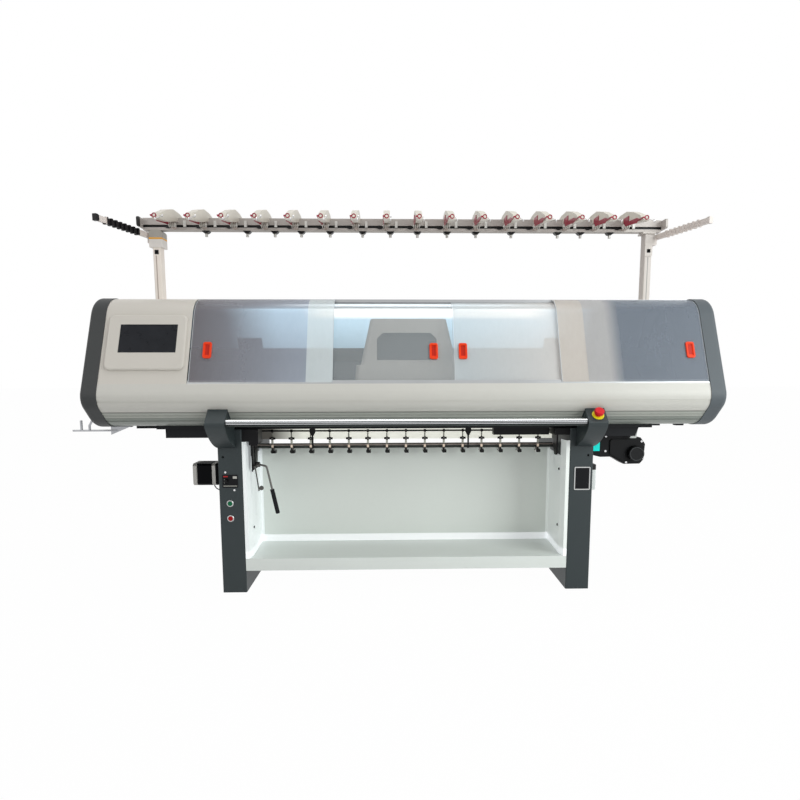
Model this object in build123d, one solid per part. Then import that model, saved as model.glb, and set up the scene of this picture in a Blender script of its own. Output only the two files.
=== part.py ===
from build123d import *
from math import atan2, cos, degrees, hypot, pi, radians, sin, sqrt, tan
import os

# Computerised flat knitting machine with two V-shaped needle beds, a carriage behind four sliding
# doors, a take-down roller over a cloth trough and a yarn stand with stop motions above.
# Millimetres. X runs along the needle beds to the right, Y to the back, Z up.
# The origin is the point on the floor midway between the two legs.

# Overall sizes
cap_outer_x = 1350.0
cap_width = 72.0
cap_wall = 5.0
cap_rounding = 22.0
cap_proud = 3.0
cover_end_x = cap_outer_x - cap_width
cover_wall = 3.0

# Legs
leg_outer_x = 833.5
leg_width = 107.0
leg_half_depth = 291.0
leg_height = 741.0
leg_edge_radius = 5.0
leg_inner_x = leg_outer_x - leg_width
leg_hole_radius = 5.5
leg_hole_depth = 12.0
leg_hole_z = leg_height - 121.0
leg_hole_inset = 23.0

# Section of the body, which stands over the legs on the girder's flange
flange_thickness = 17.0
body_height = 554.0
body_bottom = leg_height + flange_thickness
body_top = body_bottom + body_height
nose_y = 434.0
nose_z = body_bottom + 114.0
top_corner_y = 259.0
bottom_corner_y = 320.0
top_corner_radius = 114.0
nose_radius = 70.0
bottom_corner_radius = 130.0

# Girder under the beds
girder_half_length = cover_end_x - 3.0
girder_web_half = 150.0
shelf_z = body_bottom + 97.0
shelf_thickness = 20.0
front_shelf_reach = 192.0
rear_shelf_reach = 275.0
flange_half_length = cover_end_x - 173.0
flange_half_depth = 262.0
fabric_slot_half = 8.0
outrigger_front_y = -250.0
outrigger_back_y = 200.0
outrigger_depth = 40.0
outrigger_bottom = leg_height - outrigger_depth
left_outrigger_x = cover_end_x - 208.0
right_outrigger_x = cover_end_x - 228.0
outrigger_slant = 15.0
lug_front_y = -216.0
lug_back_y = -186.0
lug_low_z = leg_height + 4.0

# Needle beds, which lean 45 degrees against each other over the throat
bed_centre_y = -70.0
throat_z = shelf_z + 185.0
throat_gap = 8.0
bed_half_length = cover_end_x - 168.0
bed_run = 134.0
bed_thickness = 22.0
bed_clearance = 0.4
trick_count = 56
trick_width = 4.0
trick_depth = 6.0
end_plate_x = girder_half_length - 35.0
end_plate_thickness = 12.0
end_plate_half = 45.0
end_plate_top = throat_z + 90.0

# Carriage and its rails
rail_reach = 175.0
rail_z = shelf_z + 70.0
rail_radius = 15.0
rail_web = 12.0
running_clearance = 0.05
carriage_x = 8.0
saddle_half_length = 150.0
saddle_foot_half = 212.0
saddle_foot_z = rail_z - 23.0
saddle_shoulder_z = rail_z + 40.0
saddle_top_half = 140.0
saddle_top_z = throat_z + 140.0
arch_half = 105.0
arch_top_z = saddle_top_z - 40.0
cam_plate_thickness = 40.0
cam_clearance = 2.0
cam_outer_reach = 145.0
cam_inner_reach = 45.0
hood_wall = 4.0
hood_bottom_z = saddle_foot_z + 38.0
hood_step_z = hood_bottom_z + 82.0
hood_top_z = hood_bottom_z + 284.0
hood_foot_half = 234.0
hood_waist_half = 209.0
hood_top_half = 167.0
hood_front_low_y = -335.0
hood_front_top_y = -238.0
hood_rear_low_y = 168.0
hood_rear_top_y = 100.0
hood_window_half = 130.0
hood_window_low_z = hood_step_z + 20.0
hood_window_top_z = hood_window_low_z + 119.0
hood_rib_half = 142.0

# Belt drive of the carriage
pulley_x = end_plate_x - 25.0
pulley_rise = 40.0
pulley_z = shelf_z + pulley_rise
pulley_radius = 30.0
pulley_flange_radius = 36.0
pulley_flange = 2.0
belt_reach = 247.0
belt_width = 20.0
belt_thickness = 3.0
belt_clearance = 0.3
pulley_pin_radius = 6.0

# Yarn feeders and their rails
feeder_rail_reach = 22.0
feeder_rail_width = 10.0
feeder_rail_low_z = throat_z + 35.0
feeder_rail_height = 25.0
feeder_count = 8
feeder_pitch = 44.0
feeder_first_x = -end_plate_x + 34.0
feeder_width = 24.0
feeder_wall = 5.0
feeder_clearance = 0.3
feeder_tip_gap = 5.0

# Doors and the lower cover
seam_z = body_bottom + 186.0
console_split_x = -(cover_end_x - 363.0)
door_top_y = -190.0
cover_front_y = -181.0
door_sheet = 3.0
outer_door_depth = 1.0
inner_door_depth = 13.0
door_gap = 0.3
track_lip = 8.0
track_floor = 5.7
track_depth = 20.0
side_gap = 1.0
pull_width = 36.0
pull_height = 73.0
pull_proud = 6.0
pull_rim = 7.0
pull_z = seam_z + 139.0
door_a_left = console_split_x + 5.0
door_a_right = -313.0
door_b_left = -425.0
door_meet_x = 200.0
door_c_right = 765.0
door_d_left = cover_end_x - 628.0
pull_a_x = door_a_left + 70.0
pull_b_x = door_meet_x - 87.0
pull_c_x = door_meet_x + 38.0
pull_d_x = cover_end_x - 65.0

# Operator's console
bezel_left = -cover_end_x + 18.0
bezel_right = console_split_x - 15.0
bezel_low_z = seam_z + 54.0
bezel_top_z = bezel_low_z + 232.0
bezel_proud = 12.0
bezel_corner = 26.0
screen_left = bezel_left + 54.0
screen_right = bezel_right - 37.0
screen_low_z = bezel_low_z + 71.0
screen_top_z = bezel_top_z - 42.0
screen_depth = 5.0
screen_thickness = 3.5

# Start bar, its brackets and the emergency stop
bracket_width = 82.0
bracket_inner_x = leg_outer_x - bracket_width
bar_radius = 16.0
bar_y = -nose_y + 6.0
bar_z = body_bottom + 24.5
bar_groove_turns = (160, 182, 204)
bar_groove_width = 4.0
bar_groove_depth = 2.5
bar_pin_radius = 6.0
bar_pin_length = 12.0
bracket_recess = 3.0
bar_end_gap = 1.0
estop_x = leg_outer_x - 36.5
estop_cap_radius = 20.0
estop_cap_height = 14.0
estop_stem_radius = 12.0
estop_stand_off = 16.0
estop_ring_radius = 25.0
estop_ring_thickness = 3.0
estop_travel = 4.0
slide_clearance = 0.3

# Buttons and plates on the legs
button_x = leg_outer_x - 47.0
button_radius = 10.5
button_proud = 7.0
button_travel = 3.0
button_depth = 9.0
bezel_ring_radius = 15.5
bezel_ring_thickness = 4.0
green_button_z = 412.0
red_button_z = 344.0
breaker_left = -leg_outer_x + 17.5
breaker_right = breaker_left + 67.0
breaker_low_z = 484.0
breaker_top_z = 541.0
plate_thickness = 3.0
toggle_x = breaker_left + 17.0
toggle_z = 512.0
toggle_radius = 8.0
toggle_width = 15.0
toggle_lever = 11.0
toggle_swing = 35.0
blank_left = leg_outer_x - 83.5
blank_right = blank_left + 72.0
blank_low_z = 463.0
blank_top_z = 568.0
blank_rim = 4.0

# Cloth trough
trough_wall = 3.0
trough_front_y = -leg_half_depth
trough_fold_y = -240.0
trough_back_y = -18.0
trough_floor_z = 157.0
trough_lip_low_z = 101.0
trough_side_front_x = leg_inner_x - 15.5
trough_side_fold_x = leg_inner_x - 23.5
trough_side_back_x = leg_inner_x - 15.5
trough_side_top_z = leg_height - 54.0
trough_back_top_z = leg_height - 119.0

# Take-down
side_plate_x = leg_inner_x - 42.5
side_plate_thickness = 7.0
plate_bar_z = leg_height - 41.0
plate_finger_z = leg_height - 185.0
roller_y = -60.0
roller_z = leg_height - 102.0
roller_radius = 12.0
journal_radius = 8.0
bearing_x = leg_inner_x - 10.5
bearing_half = 19.0
press_radius = 11.0
press_width = 14.0
press_gap = 0.4
press_shift_y = -4.0
press_pin_radius = 3.0
press_count = 15
press_pitch = 90.4
hanger_rod_y = -92.0
hanger_rod_z = leg_height - 27.0
hanger_rod_radius = 4.0
hanger_eye_radius = 7.0
hanger_eye_length = 10.0
arm_rod_radius = 1.6
arm_tee_z = roller_z + 39.0
arm_tee_half = 14.0
arm_tee_height = 10.0
arm_tee_radius = 8.0
arm_strap_half = 5.0
arm_strap_thickness = 4.0
ring_nut_radius = 9.0
ring_nut_hole = 4.5
stay_left_x = -435.0
stay_right_x = 290.0
stay_y = -149.0
stay_drop = 44.0
stay_pin_drop = 104.0
tie_beam_y = 2.0
tie_beam_thickness = 6.0
tie_beam_low_z = leg_height - 77.0
left_block_x = side_plate_x - 29.0
block_front_y = -285.0
block_back_y = -200.0
block_low_z = leg_height - 70.0
small_block_drop = 29.0
cable_box_left = 395.0
cable_box_right = 648.0
cable_box_low_z = leg_height - 34.0

# Release lever and hand crank at the left take-down plate
lever_y = -203.0
lever_z = leg_height - 169.0
lever_rod_radius = 4.5
lever_reach = 44.0
lever_side = 44.0
lever_length = 213.0
grip_radius = 9.5
grip_length = 116.0
crank_y = -257.0
crank_z = leg_height - 171.0
crank_length = 110.0
crank_knob_radius = 10.0

# Take-down stepping motor on the left leg
stepper_y = -150.0
stepper_z = leg_height - 215.0
stepper_size = 100.0
stepper_end_x = leg_outer_x + 142.5
stepper_plate = 18.0
lead_radius = 2.5
lead_bend = 28.0
lead_x = -leg_outer_x - 62.5

# Drive gearbox under the right of the body
gearbox_front_y = -160.0
gearbox_back_y = -100.0
drive_motor_x = right_outrigger_x + 22.0
drive_motor_z = leg_height - 131.0
drive_motor_radius = 36.0
drive_motor_length = 34.0

# Yarn stand
post_x = cover_end_x - 102.0
post_width = 36.0
post_front_y = 28.0
post_back_y = 78.0
collar_half = 31.0
collar_height = 79.0
collar_margin = 6.0
rail_front_y = 30.0
rail_back_y = 66.0
rail_low_z = body_top + 344.0
rail_high_z = rail_low_z + 56.0
rail_half_length = post_x + 58.0
rail_slot_z = rail_low_z + 19.0
rail_slot_height = 12.0
rail_slot_depth = 9.0
rail_end_reach = 50.0
device_count = 16
device_left_margin = 152.0
device_right_margin = 180.0
device_first_x = -rail_half_length + device_left_margin
device_pitch = (2 * rail_half_length - device_left_margin - device_right_margin) / (device_count - 1)
device_half = 14.0
device_gap = 0.3
device_top = 23.0
arm_pivot_y = -175.0
arm_pivot_z = rail_high_z - 42.0
arm_tip_y = -251.0
arm_tip_z = rail_high_z - 72.0
arm_wire_radius = 1.6
guide_sheet = 3.0
guide_ring_y = -222.0
guide_ring_z = rail_high_z - 51.0
guide_ring_radius = 10.0
guide_ring_hole = 6.0
clamp_steps = (0.97, 2.33, 3.25, 4.13, 5.09, 6.18, 7.11, 8.02, 9.02, 9.99, 11.19, 12.77, 13.55, 14.55)
clamp_half = 18.0
clamp_drop = 12.0
clamp_knob_radius = 6.5
clamp_knob_drop = 26.0
slot_disc_shift = -34.0
slot_disc_drop = 11.0
peg_shift = 44.0
peg_width = 12.0
peg_drop = 4.0
peg_height = 28.0
side_arm_reach = 350.0
side_arm_spread = 85.0
side_arm_height = 24.0
side_arm_thickness = 14.0
side_arm_low_z = rail_low_z - 34.0

# Hook bracket under the left end cap
hook_y = -262.0
hook_plate_left = -cap_outer_x + 48.0
hook_plate_right = -cap_outer_x + 135.0
hook_drop = 36.5
hook_rod_z = body_bottom - 21.0
hook_rod_radius = 4.0
hook_tip_x = -cap_outer_x - 118.0
hook_pin_x = -cap_outer_x - 80.0
hook_pin_top = body_bottom + 24.0

parts = {}


def block(x, y, z):
    """Box between pairs of low and high values."""
    size = Box(x[1] - x[0], y[1] - y[0], z[1] - z[0])
    return Pos((x[0] + x[1]) / 2, (y[0] + y[1]) / 2, (z[0] + z[1]) / 2) * size


def rod(start, end, radius):
    """Round bar from one point to another."""
    line = Line(start, end)
    return Solid.make_cylinder(radius, line.length, Plane(origin=start, z_dir=line % 0))


def along_x(sketch, low, high):
    """Extrude a sketch drawn as (Y, Z) between two values of X."""
    return extrude(Plane.YZ.offset(low) * sketch, high - low, dir=(1, 0, 0))


def along_y(sketch, low, high):
    """Extrude a sketch drawn as (X, Z) between two values of Y."""
    plane = Plane(origin=(0, low, 0), x_dir=(1, 0, 0), z_dir=(0, -1, 0))
    return extrude(plane * sketch, high - low, dir=(0, 1, 0))


def outline(points, radii=None):
    """Closed face from corner points, with a rounding for each corner where given."""
    if radii is None:
        return make_face(Polyline(*points, close=True))
    return make_face(FilletPolyline(*points, radius=radii, close=True))


def window(low, high):
    """Rectangle between two corners of a sketch."""
    centre = Pos((low[0] + high[0]) / 2, (low[1] + high[1]) / 2)
    return centre * Rectangle(high[0] - low[0], high[1] - low[1])


def mirror_x(shape):
    return mirror(shape, about=Plane.YZ)


def grown(corners, amount):
    """Corners of a convex outline moved outwards by an amount, with the sides kept parallel."""
    moved = []
    for index, corner in enumerate(corners):
        before = corners[index - 1]
        after = corners[(index + 1) % len(corners)]
        normals = []
        for start, end in ((before, corner), (corner, after)):
            length = hypot(end[0] - start[0], end[1] - start[1])
            normals.append(((end[1] - start[1]) / length, (start[0] - end[0]) / length))
        share = amount / (1 + normals[0][0] * normals[1][0] + normals[0][1] * normals[1][1])
        y = corner[0] + share * (normals[0][0] + normals[1][0])
        z = corner[1] + share * (normals[0][1] + normals[1][1])
        moved.append((y, z))
    return moved


section_corners = [
    (-bottom_corner_y, body_bottom),
    (bottom_corner_y, body_bottom),
    (nose_y, nose_z),
    (top_corner_y, body_top),
    (-top_corner_y, body_top),
    (-nose_y, nose_z),
]
section_radii = [
    bottom_corner_radius,
    bottom_corner_radius,
    nose_radius,
    top_corner_radius,
    top_corner_radius,
    nose_radius,
]


def section(amount=0.0):
    """Section of the body, grown outwards by an amount or shrunk by a negative one."""
    return outline(grown(section_corners, amount), [radius + amount for radius in section_radii])


def skin(depth, thickness, low, high):
    """Bent sheet at a depth under the body's surface, inside a window given as (Y, Z) corners."""
    return (section(-depth) - section(-depth - thickness)) & window(low, high)


# The front slope runs straight between the nose and the top corner.
slope_run = nose_y - top_corner_y
slope_rise = body_top - nose_z
slope_length = hypot(slope_run, slope_rise)
slope_normal = Vector(0, -slope_rise / slope_length, slope_run / slope_length)


def slope_plane(x, z, depth=0.0):
    """Plane on the front slope at a height, with its normal pointing at the operator."""
    y = -nose_y + (z - nose_z) * slope_run / slope_rise
    origin = Vector(x, y, z) - slope_normal * depth
    return Plane(origin=origin, x_dir=(1, 0, 0), z_dir=slope_normal)


far = 600.0
high = 1500.0


def end_cap():
    """Moulded shell that closes the right end of the body, open towards the middle."""
    shell = along_x(section(cap_proud), cover_end_x, cap_outer_x)
    shell = fillet(shell.faces().sort_by(Axis.X)[-1].edges(), cap_rounding)
    hollow = along_x(section(cap_proud - cap_wall), cover_end_x - 1, cap_outer_x - cap_wall)
    hollow = fillet(hollow.faces().sort_by(Axis.X)[-1].edges(), cap_rounding - cap_wall)
    return shell - hollow


def leg_box():
    """Right leg as a folded box with rounded upright edges and a screw hole in front."""
    x = (leg_inner_x, leg_outer_x)
    leg = block(x, (-leg_half_depth, leg_half_depth), (0, leg_height))
    leg = fillet(leg.edges().filter_by(Axis.Z), leg_edge_radius)
    hole_x = leg_outer_x - leg_hole_inset
    front = (hole_x, -leg_half_depth - 1, leg_hole_z)
    return leg - rod(front, (hole_x, -leg_half_depth + leg_hole_depth, leg_hole_z), leg_hole_radius)


def lower_front_cover():
    """Sheet from the door seam round the nose to the underside, with four rolled grooves."""
    end_y = -flange_half_depth + 22
    sheet = skin(0, cover_wall, (-far, body_bottom - 1), (end_y, seam_z))
    groove_depth = 1.5
    for rise, tall in ((109, 8), (66, 4), (50, 5), (26, 4)):
        low = body_bottom + rise
        sheet = sheet - skin(0, groove_depth, (-far, low), (end_y, low + tall))
    return along_x(sheet, -cover_end_x, cover_end_x)


def rear_cover():
    """Top and back sheet, from the doors' upper track over the top and down to the underside."""
    sheet = skin(0, cover_wall, (cover_front_y, body_top - 30), (0, high))
    sheet = sheet + skin(0, cover_wall, (0, body_bottom - 1), (far, high))
    end_y = flange_half_depth - 22
    sheet = sheet - window((-1, body_bottom - 2), (end_y, body_bottom + cover_wall + 1))
    cover = along_x(sheet, -cover_end_x, cover_end_x)
    louvre = block((-55, 55), (-12, 12), (-3, 3))
    for centre in (-820, 820):
        for row in range(6):
            rise = 148 + row * 26
            y = nose_y - rise * slope_run / slope_rise
            cover = cover - Pos(centre, y, nose_z + rise) * louvre
    return cover


def console_panel():
    """Fixed panel at the left with the raised frame of the screen."""
    sheet = skin(0, cover_wall + 1, (-far, seam_z), (cover_front_y, high))
    panel = along_x(sheet, -cover_end_x, console_split_x)
    middle_x = (bezel_left + bezel_right) / 2
    middle_z = (bezel_low_z + bezel_top_z) / 2
    tilt = slope_length / slope_rise
    plane = slope_plane(middle_x, middle_z)
    frame = RectangleRounded(bezel_right - bezel_left, (bezel_top_z - bezel_low_z) * tilt, bezel_corner)
    raised = extrude(plane * frame, bezel_proud)
    raised = fillet(raised.faces().sort_by(Axis(plane.origin, plane.z_dir))[-1].edges(), bezel_proud * 0.7)
    panel = panel + raised
    screen_x = (screen_left + screen_right) / 2
    screen_z = (screen_low_z + screen_top_z) / 2
    pocket = Rectangle(screen_right - screen_left, (screen_top_z - screen_low_z) * tilt)
    mouth = slope_plane(screen_x, screen_z, -bezel_proud)
    panel = panel - extrude(mouth * pocket, -screen_depth)
    floor = slope_plane(screen_x, screen_z, -bezel_proud + screen_depth)
    glass = extrude(floor * pocket, screen_thickness)
    return panel, glass


def door_tracks():
    """Lower and upper runners, each with a floor, a rib between the doors and an inner rib."""
    start = console_split_x + 1
    rib_low = outer_door_depth + door_sheet + door_gap
    rib_high = inner_door_depth - door_gap
    inner_low = inner_door_depth + door_sheet + door_gap
    low_top = seam_z + track_floor
    lower = skin(0, track_depth, (-far, seam_z), (0, low_top))
    lip_top = low_top + track_lip
    lower = lower + skin(rib_low, rib_high - rib_low, (-far, low_top - 1), (0, lip_top))
    lower = lower + skin(inner_low, track_depth - inner_low, (-far, low_top - 1), (0, lip_top))
    stop_y = door_top_y + door_gap
    edge_y = stop_y - track_lip
    top_low = body_top - 60
    upper = skin(cover_wall, track_depth - cover_wall, (stop_y, top_low), (cover_front_y + 6, high))
    upper = upper + skin(0, track_depth, (stop_y, top_low), (cover_front_y, high))
    upper = upper + skin(rib_low, rib_high - rib_low, (edge_y, top_low), (stop_y + 1, high))
    upper = upper + skin(inner_low, track_depth - inner_low, (edge_y, top_low), (stop_y + 1, high))
    return along_x(lower, start, cover_end_x) + along_x(upper, start, cover_end_x)


def door(left, right, depth):
    """Bent clear sheet that stands in the lower runner and reaches into the upper one."""
    sheet = skin(depth, door_sheet, (-far, seam_z + track_floor + door_gap), (door_top_y, high))
    return along_x(sheet, left, right)


def door_pull(x, depth):
    """Recessed finger pull on the face of a door."""
    plane = slope_plane(x, pull_z, depth)
    body = extrude(plane * RectangleRounded(pull_width, pull_height, 9), pull_proud)
    body = fillet(body.faces().sort_by(Axis(plane.origin, plane.z_dir))[-1].edges(), 2)
    mouth = RectangleRounded(pull_width - 2 * pull_rim, pull_height - 2 * pull_rim - 4, 5)
    face = slope_plane(x, pull_z, depth - pull_proud)
    return body - extrude(face * mouth, -pull_proud + 1.5)


def bed_section(depth=0.0):
    """Front needle bed as (Y, Z), leaning at 45 degrees towards the throat."""
    edge = -throat_gap / 2
    down = bed_thickness * sqrt(2)
    skew = bed_thickness / sqrt(2)
    points = [
        (edge, throat_z),
        (edge - bed_run, throat_z - bed_run),
        (edge - bed_run + skew, throat_z - bed_run - skew),
        (edge, throat_z - down),
    ]
    return outline([(bed_centre_y + y, z) for y, z in points])


def needle_bed():
    """Front bed with its needle tricks milled square to its length."""
    bed = along_x(bed_section(), -bed_half_length, bed_half_length)
    edge = -throat_gap / 2
    deep = trick_depth * sqrt(2)
    ends = 16.0
    groove = [
        (edge + 1, throat_z + 1 + deep),
        (edge - bed_run + ends, throat_z - bed_run + ends + deep),
        (edge - bed_run + ends, throat_z - bed_run + ends - deep),
        (edge + 1, throat_z + 1 - deep),
    ]
    face = outline([(bed_centre_y + y, z) for y, z in groove])
    pitch = 2 * (bed_half_length - 20) / (trick_count - 1)
    tricks = []
    for index in range(trick_count):
        x = -bed_half_length + 20 + index * pitch
        tricks.append(along_x(face, x - trick_width / 2, x + trick_width / 2))
    return bed - tricks


def outrigger(end_x, slant):
    """Arm of the girder under the flange, from the leg outwards, with a slanted end."""
    points = [
        (leg_outer_x, leg_height),
        (end_x, leg_height),
        (end_x - slant, outrigger_bottom),
        (leg_outer_x, outrigger_bottom),
    ]
    return along_y(outline(points), outrigger_front_y, outrigger_back_y)


def bed_girder():
    """Cast girder with its flange and outriggers, and the end plates and pulley brackets on it."""
    roof_drop = bed_thickness * sqrt(2) - throat_gap / 2
    roof_z = throat_z - roof_drop
    shelf_y = roof_z - shelf_z
    shelf_low = shelf_z - shelf_thickness
    points = [
        (-front_shelf_reach, shelf_low),
        (-girder_web_half, shelf_low),
        (-girder_web_half, body_bottom),
        (girder_web_half, body_bottom),
        (girder_web_half, shelf_low),
        (rear_shelf_reach, shelf_low),
        (rear_shelf_reach, shelf_z),
        (shelf_y, shelf_z),
        (0, roof_z),
        (-shelf_y, shelf_z),
        (-front_shelf_reach, shelf_z),
    ]
    profile = outline([(bed_centre_y + y, z) for y, z in points])
    girder = along_x(profile, -girder_half_length, girder_half_length)
    flange_x = (-flange_half_length, flange_half_length)
    flange_y = (-flange_half_depth, flange_half_depth)
    girder = girder + block(flange_x, flange_y, (leg_height, body_bottom))
    slot_y = (bed_centre_y - fabric_slot_half, bed_centre_y + fabric_slot_half)
    girder = girder - block(flange_x, slot_y, (leg_height - 1, throat_z))
    girder = girder + outrigger(right_outrigger_x, outrigger_slant) + mirror_x(outrigger(left_outrigger_x, 0))
    lug_y = (lug_front_y, lug_back_y)
    end = flange_half_length
    girder = girder + block((end + 13, end + 57), lug_y, (lug_low_z, body_bottom))
    girder = girder + block((cover_end_x - 42, cover_end_x - 6), lug_y, (lug_low_z, body_bottom))
    girder = girder + block((-end - 106, -end - 6), lug_y, (leg_height, body_bottom))
    plate_x = (end_plate_x, end_plate_x + end_plate_thickness)
    plate_y = (bed_centre_y - end_plate_half, bed_centre_y + end_plate_half)
    plate = block(plate_x, plate_y, (shelf_z, end_plate_top)) - along_x(profile, *plate_x)
    bracket_y = (bed_centre_y + rear_shelf_reach - 10, bed_centre_y + rear_shelf_reach)
    bracket = block((pulley_x - 24, pulley_x + 24), bracket_y, (shelf_z, pulley_z + 20))
    pin_start = (pulley_x, bracket_y[0] + 1, pulley_z)
    pin_end = (pulley_x, bed_centre_y + belt_reach - belt_width / 2 - 6, pulley_z)
    boss_end = (pulley_x, bed_centre_y + belt_reach + belt_width / 2 + pulley_flange + 0.6, pulley_z)
    bracket = bracket + rod(pin_start, pin_end, pulley_pin_radius)
    bracket = bracket + rod(pin_start, boss_end, pulley_pin_radius + 4)
    return [girder, plate, mirror_x(plate), bracket, mirror_x(bracket)]


def carriage_rail(reach):
    """Ground round rail on a web, over the girder's shelf."""
    y = bed_centre_y + reach
    web = block(
        (-end_plate_x, end_plate_x),
        (y - rail_web / 2, y + rail_web / 2),
        (shelf_z, rail_z - rail_radius * 0.8),
    )
    return web + rod((-end_plate_x, y, rail_z), (end_plate_x, y, rail_z), rail_radius)


def cross_rails():
    """Two carriage rails, and two flat rails for the yarn feeders over the throat."""
    rails = [carriage_rail(-rail_reach), carriage_rail(rail_reach)]
    for side in (-1, 1):
        y = bed_centre_y + side * feeder_rail_reach
        flat = block(
            (-end_plate_x, end_plate_x),
            (y - feeder_rail_width / 2, y + feeder_rail_width / 2),
            (feeder_rail_low_z, feeder_rail_low_z + feeder_rail_height),
        )
        rails.append(flat)
    return rails


def cam_line(reach, depth):
    """Height over the bed's face at a reach from its centre, at a depth square to the face."""
    return throat_z - abs(reach) + throat_gap / 2 + depth * sqrt(2)


def carriage_saddle():
    """Bridge over both beds with cam plates above the tricks and blocks on the rails."""
    outer = [
        (-saddle_foot_half, saddle_foot_z),
        (saddle_foot_half, saddle_foot_z),
        (saddle_foot_half, saddle_shoulder_z),
        (saddle_top_half, saddle_top_z),
        (-saddle_top_half, saddle_top_z),
        (-saddle_foot_half, saddle_shoulder_z),
    ]
    cam_top = cam_clearance + cam_plate_thickness
    half = [
        (cam_outer_reach, saddle_foot_z - 8),
        (cam_outer_reach, cam_line(cam_outer_reach, cam_clearance)),
        (cam_inner_reach, cam_line(cam_inner_reach, cam_clearance)),
        (cam_inner_reach + 13, cam_line(cam_inner_reach + 13, cam_top)),
        (arch_half, cam_line(arch_half, cam_top)),
        (arch_half, arch_top_z),
    ]
    arch = half + [(-y, z) for y, z in reversed(half)]
    profile = outline([(bed_centre_y + y, z) for y, z in outer])
    profile = profile - outline([(bed_centre_y + y, z) for y, z in arch])
    for side in (-1, 1):
        y = bed_centre_y + side * rail_reach
        profile = profile - Pos(y, rail_z) * Circle(rail_radius + running_clearance)
        slot = rail_web / 2 + 1.5
        profile = profile - window((y - slot, saddle_foot_z - 1), (y + slot, rail_z))
    low = carriage_x - saddle_half_length
    saddle = along_x(profile, low, low + 2 * saddle_half_length)
    post_z = (saddle_top_z, hood_top_z - hood_wall)
    for x in (carriage_x - 90, carriage_x + 90):
        saddle = saddle + block((x - 12, x + 12), (bed_centre_y - 30, bed_centre_y + 30), post_z)
    clamp_low = pulley_z + pulley_radius + belt_thickness + 2 * belt_clearance
    clamp_y = (bed_centre_y + saddle_foot_half - 2, bed_centre_y + belt_reach + belt_width / 2)
    saddle = saddle + block((carriage_x - 40, carriage_x + 40), clamp_y, (clamp_low, clamp_low + 8))
    return saddle


def hood_tier(low_half, top_half, low_z, top_z, front, rear, inset, corner):
    """Tapered tier of the hood between two heights, inset all round by an amount."""
    faces = []
    for half, z, y_front, y_rear in ((low_half, low_z, front[0], rear[0]), (top_half, top_z, front[1], rear[1])):
        width = 2 * (half - inset)
        depth = y_rear - y_front - 2 * inset
        shape = RectangleRounded(width, depth, corner - inset)
        faces.append(Plane.XY.offset(z) * Pos(carriage_x, (y_front + y_rear) / 2) * shape)
    return loft(faces)


def hood_front_y(z):
    share = (z - hood_bottom_z) / (hood_top_z - hood_bottom_z)
    return hood_front_low_y + (hood_front_top_y - hood_front_low_y) * share


def hood_rear_y(z):
    share = (z - hood_bottom_z) / (hood_top_z - hood_bottom_z)
    return hood_rear_low_y + (hood_rear_top_y - hood_rear_low_y) * share


def side_mouth():
    """Opening in both side walls of the hood that lets the beds, rails and feeders through."""
    half = [(200, -5), (200, 12), (122, 12), (50, 112), (50, 178)]
    points = [(y, hood_bottom_z + z) for y, z in half + [(-y, z) for y, z in reversed(half)]]
    return outline([(bed_centre_y + y, z) for y, z in points])


def carriage_hood():
    """Moulded hood with a wide foot, a tapered upper part and an open window in front."""
    step_proud = 8.0
    corner = 22.0
    foot = (hood_front_y(hood_bottom_z) - step_proud, hood_front_y(hood_step_z) - step_proud)
    foot_rear = (hood_rear_y(hood_bottom_z), hood_rear_y(hood_step_z))
    front = (hood_front_y(hood_step_z), hood_front_top_y)
    rear = (hood_rear_y(hood_step_z), hood_rear_top_y)
    hood = hood_tier(hood_foot_half, hood_foot_half - 6, hood_bottom_z, hood_step_z, foot, foot_rear, 0, corner)
    hood = hood + hood_tier(hood_waist_half, hood_top_half, hood_step_z, hood_top_z, front, rear, 0, corner)
    hood = fillet(hood.faces().sort_by(Axis.Z)[-1].edges(), 10)
    inside = hood_tier(
        hood_foot_half, hood_foot_half - 6, hood_bottom_z, hood_step_z - hood_wall, foot, foot_rear, hood_wall, corner
    )
    upper_low = hood_step_z - 2 * hood_wall
    inside = inside + hood_tier(
        hood_waist_half, hood_top_half, upper_low, hood_top_z - hood_wall, front, rear, hood_wall, corner
    )
    hood = hood - inside
    chamfer_run = 26.0
    opening = outline(
        [
            (-hood_window_half, hood_window_low_z),
            (hood_window_half, hood_window_low_z),
            (hood_window_half, hood_window_top_z - chamfer_run),
            (hood_window_half - chamfer_run, hood_window_top_z),
            (-hood_window_half + chamfer_run, hood_window_top_z),
            (-hood_window_half, hood_window_top_z - chamfer_run),
        ]
    )
    cut_low = hood_front_low_y - 20
    hood = hood - along_y(Pos(carriage_x - 8, 0) * opening, cut_low, hood_front_top_y + 30)
    hood = hood - along_x(side_mouth(), carriage_x - 300, carriage_x + 300)
    for side in (-1, 1):
        x = carriage_x - 4 + side * hood_rib_half
        low_z = hood_bottom_z + 45
        top_z = hood_top_z - 31
        rib = [
            (hood_front_y(low_z) - 5, low_z),
            (hood_front_y(low_z) + 2, low_z),
            (hood_front_y(top_z) + 2, top_z),
            (hood_front_y(top_z) - 3, top_z),
        ]
        hood = hood + along_x(outline(rib), x - 3, x + 3)
    return hood


def drive_belt():
    """Closed toothed belt round both pulleys, drawn as a plain band."""
    inner = pulley_radius + belt_clearance
    band = SlotCenterToCenter(2 * pulley_x, 2 * (inner + belt_thickness))
    band = band - SlotCenterToCenter(2 * pulley_x, 2 * inner)
    low = bed_centre_y + belt_reach - belt_width / 2
    return along_y(Pos(0, pulley_z) * band, low, low + belt_width)


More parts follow.
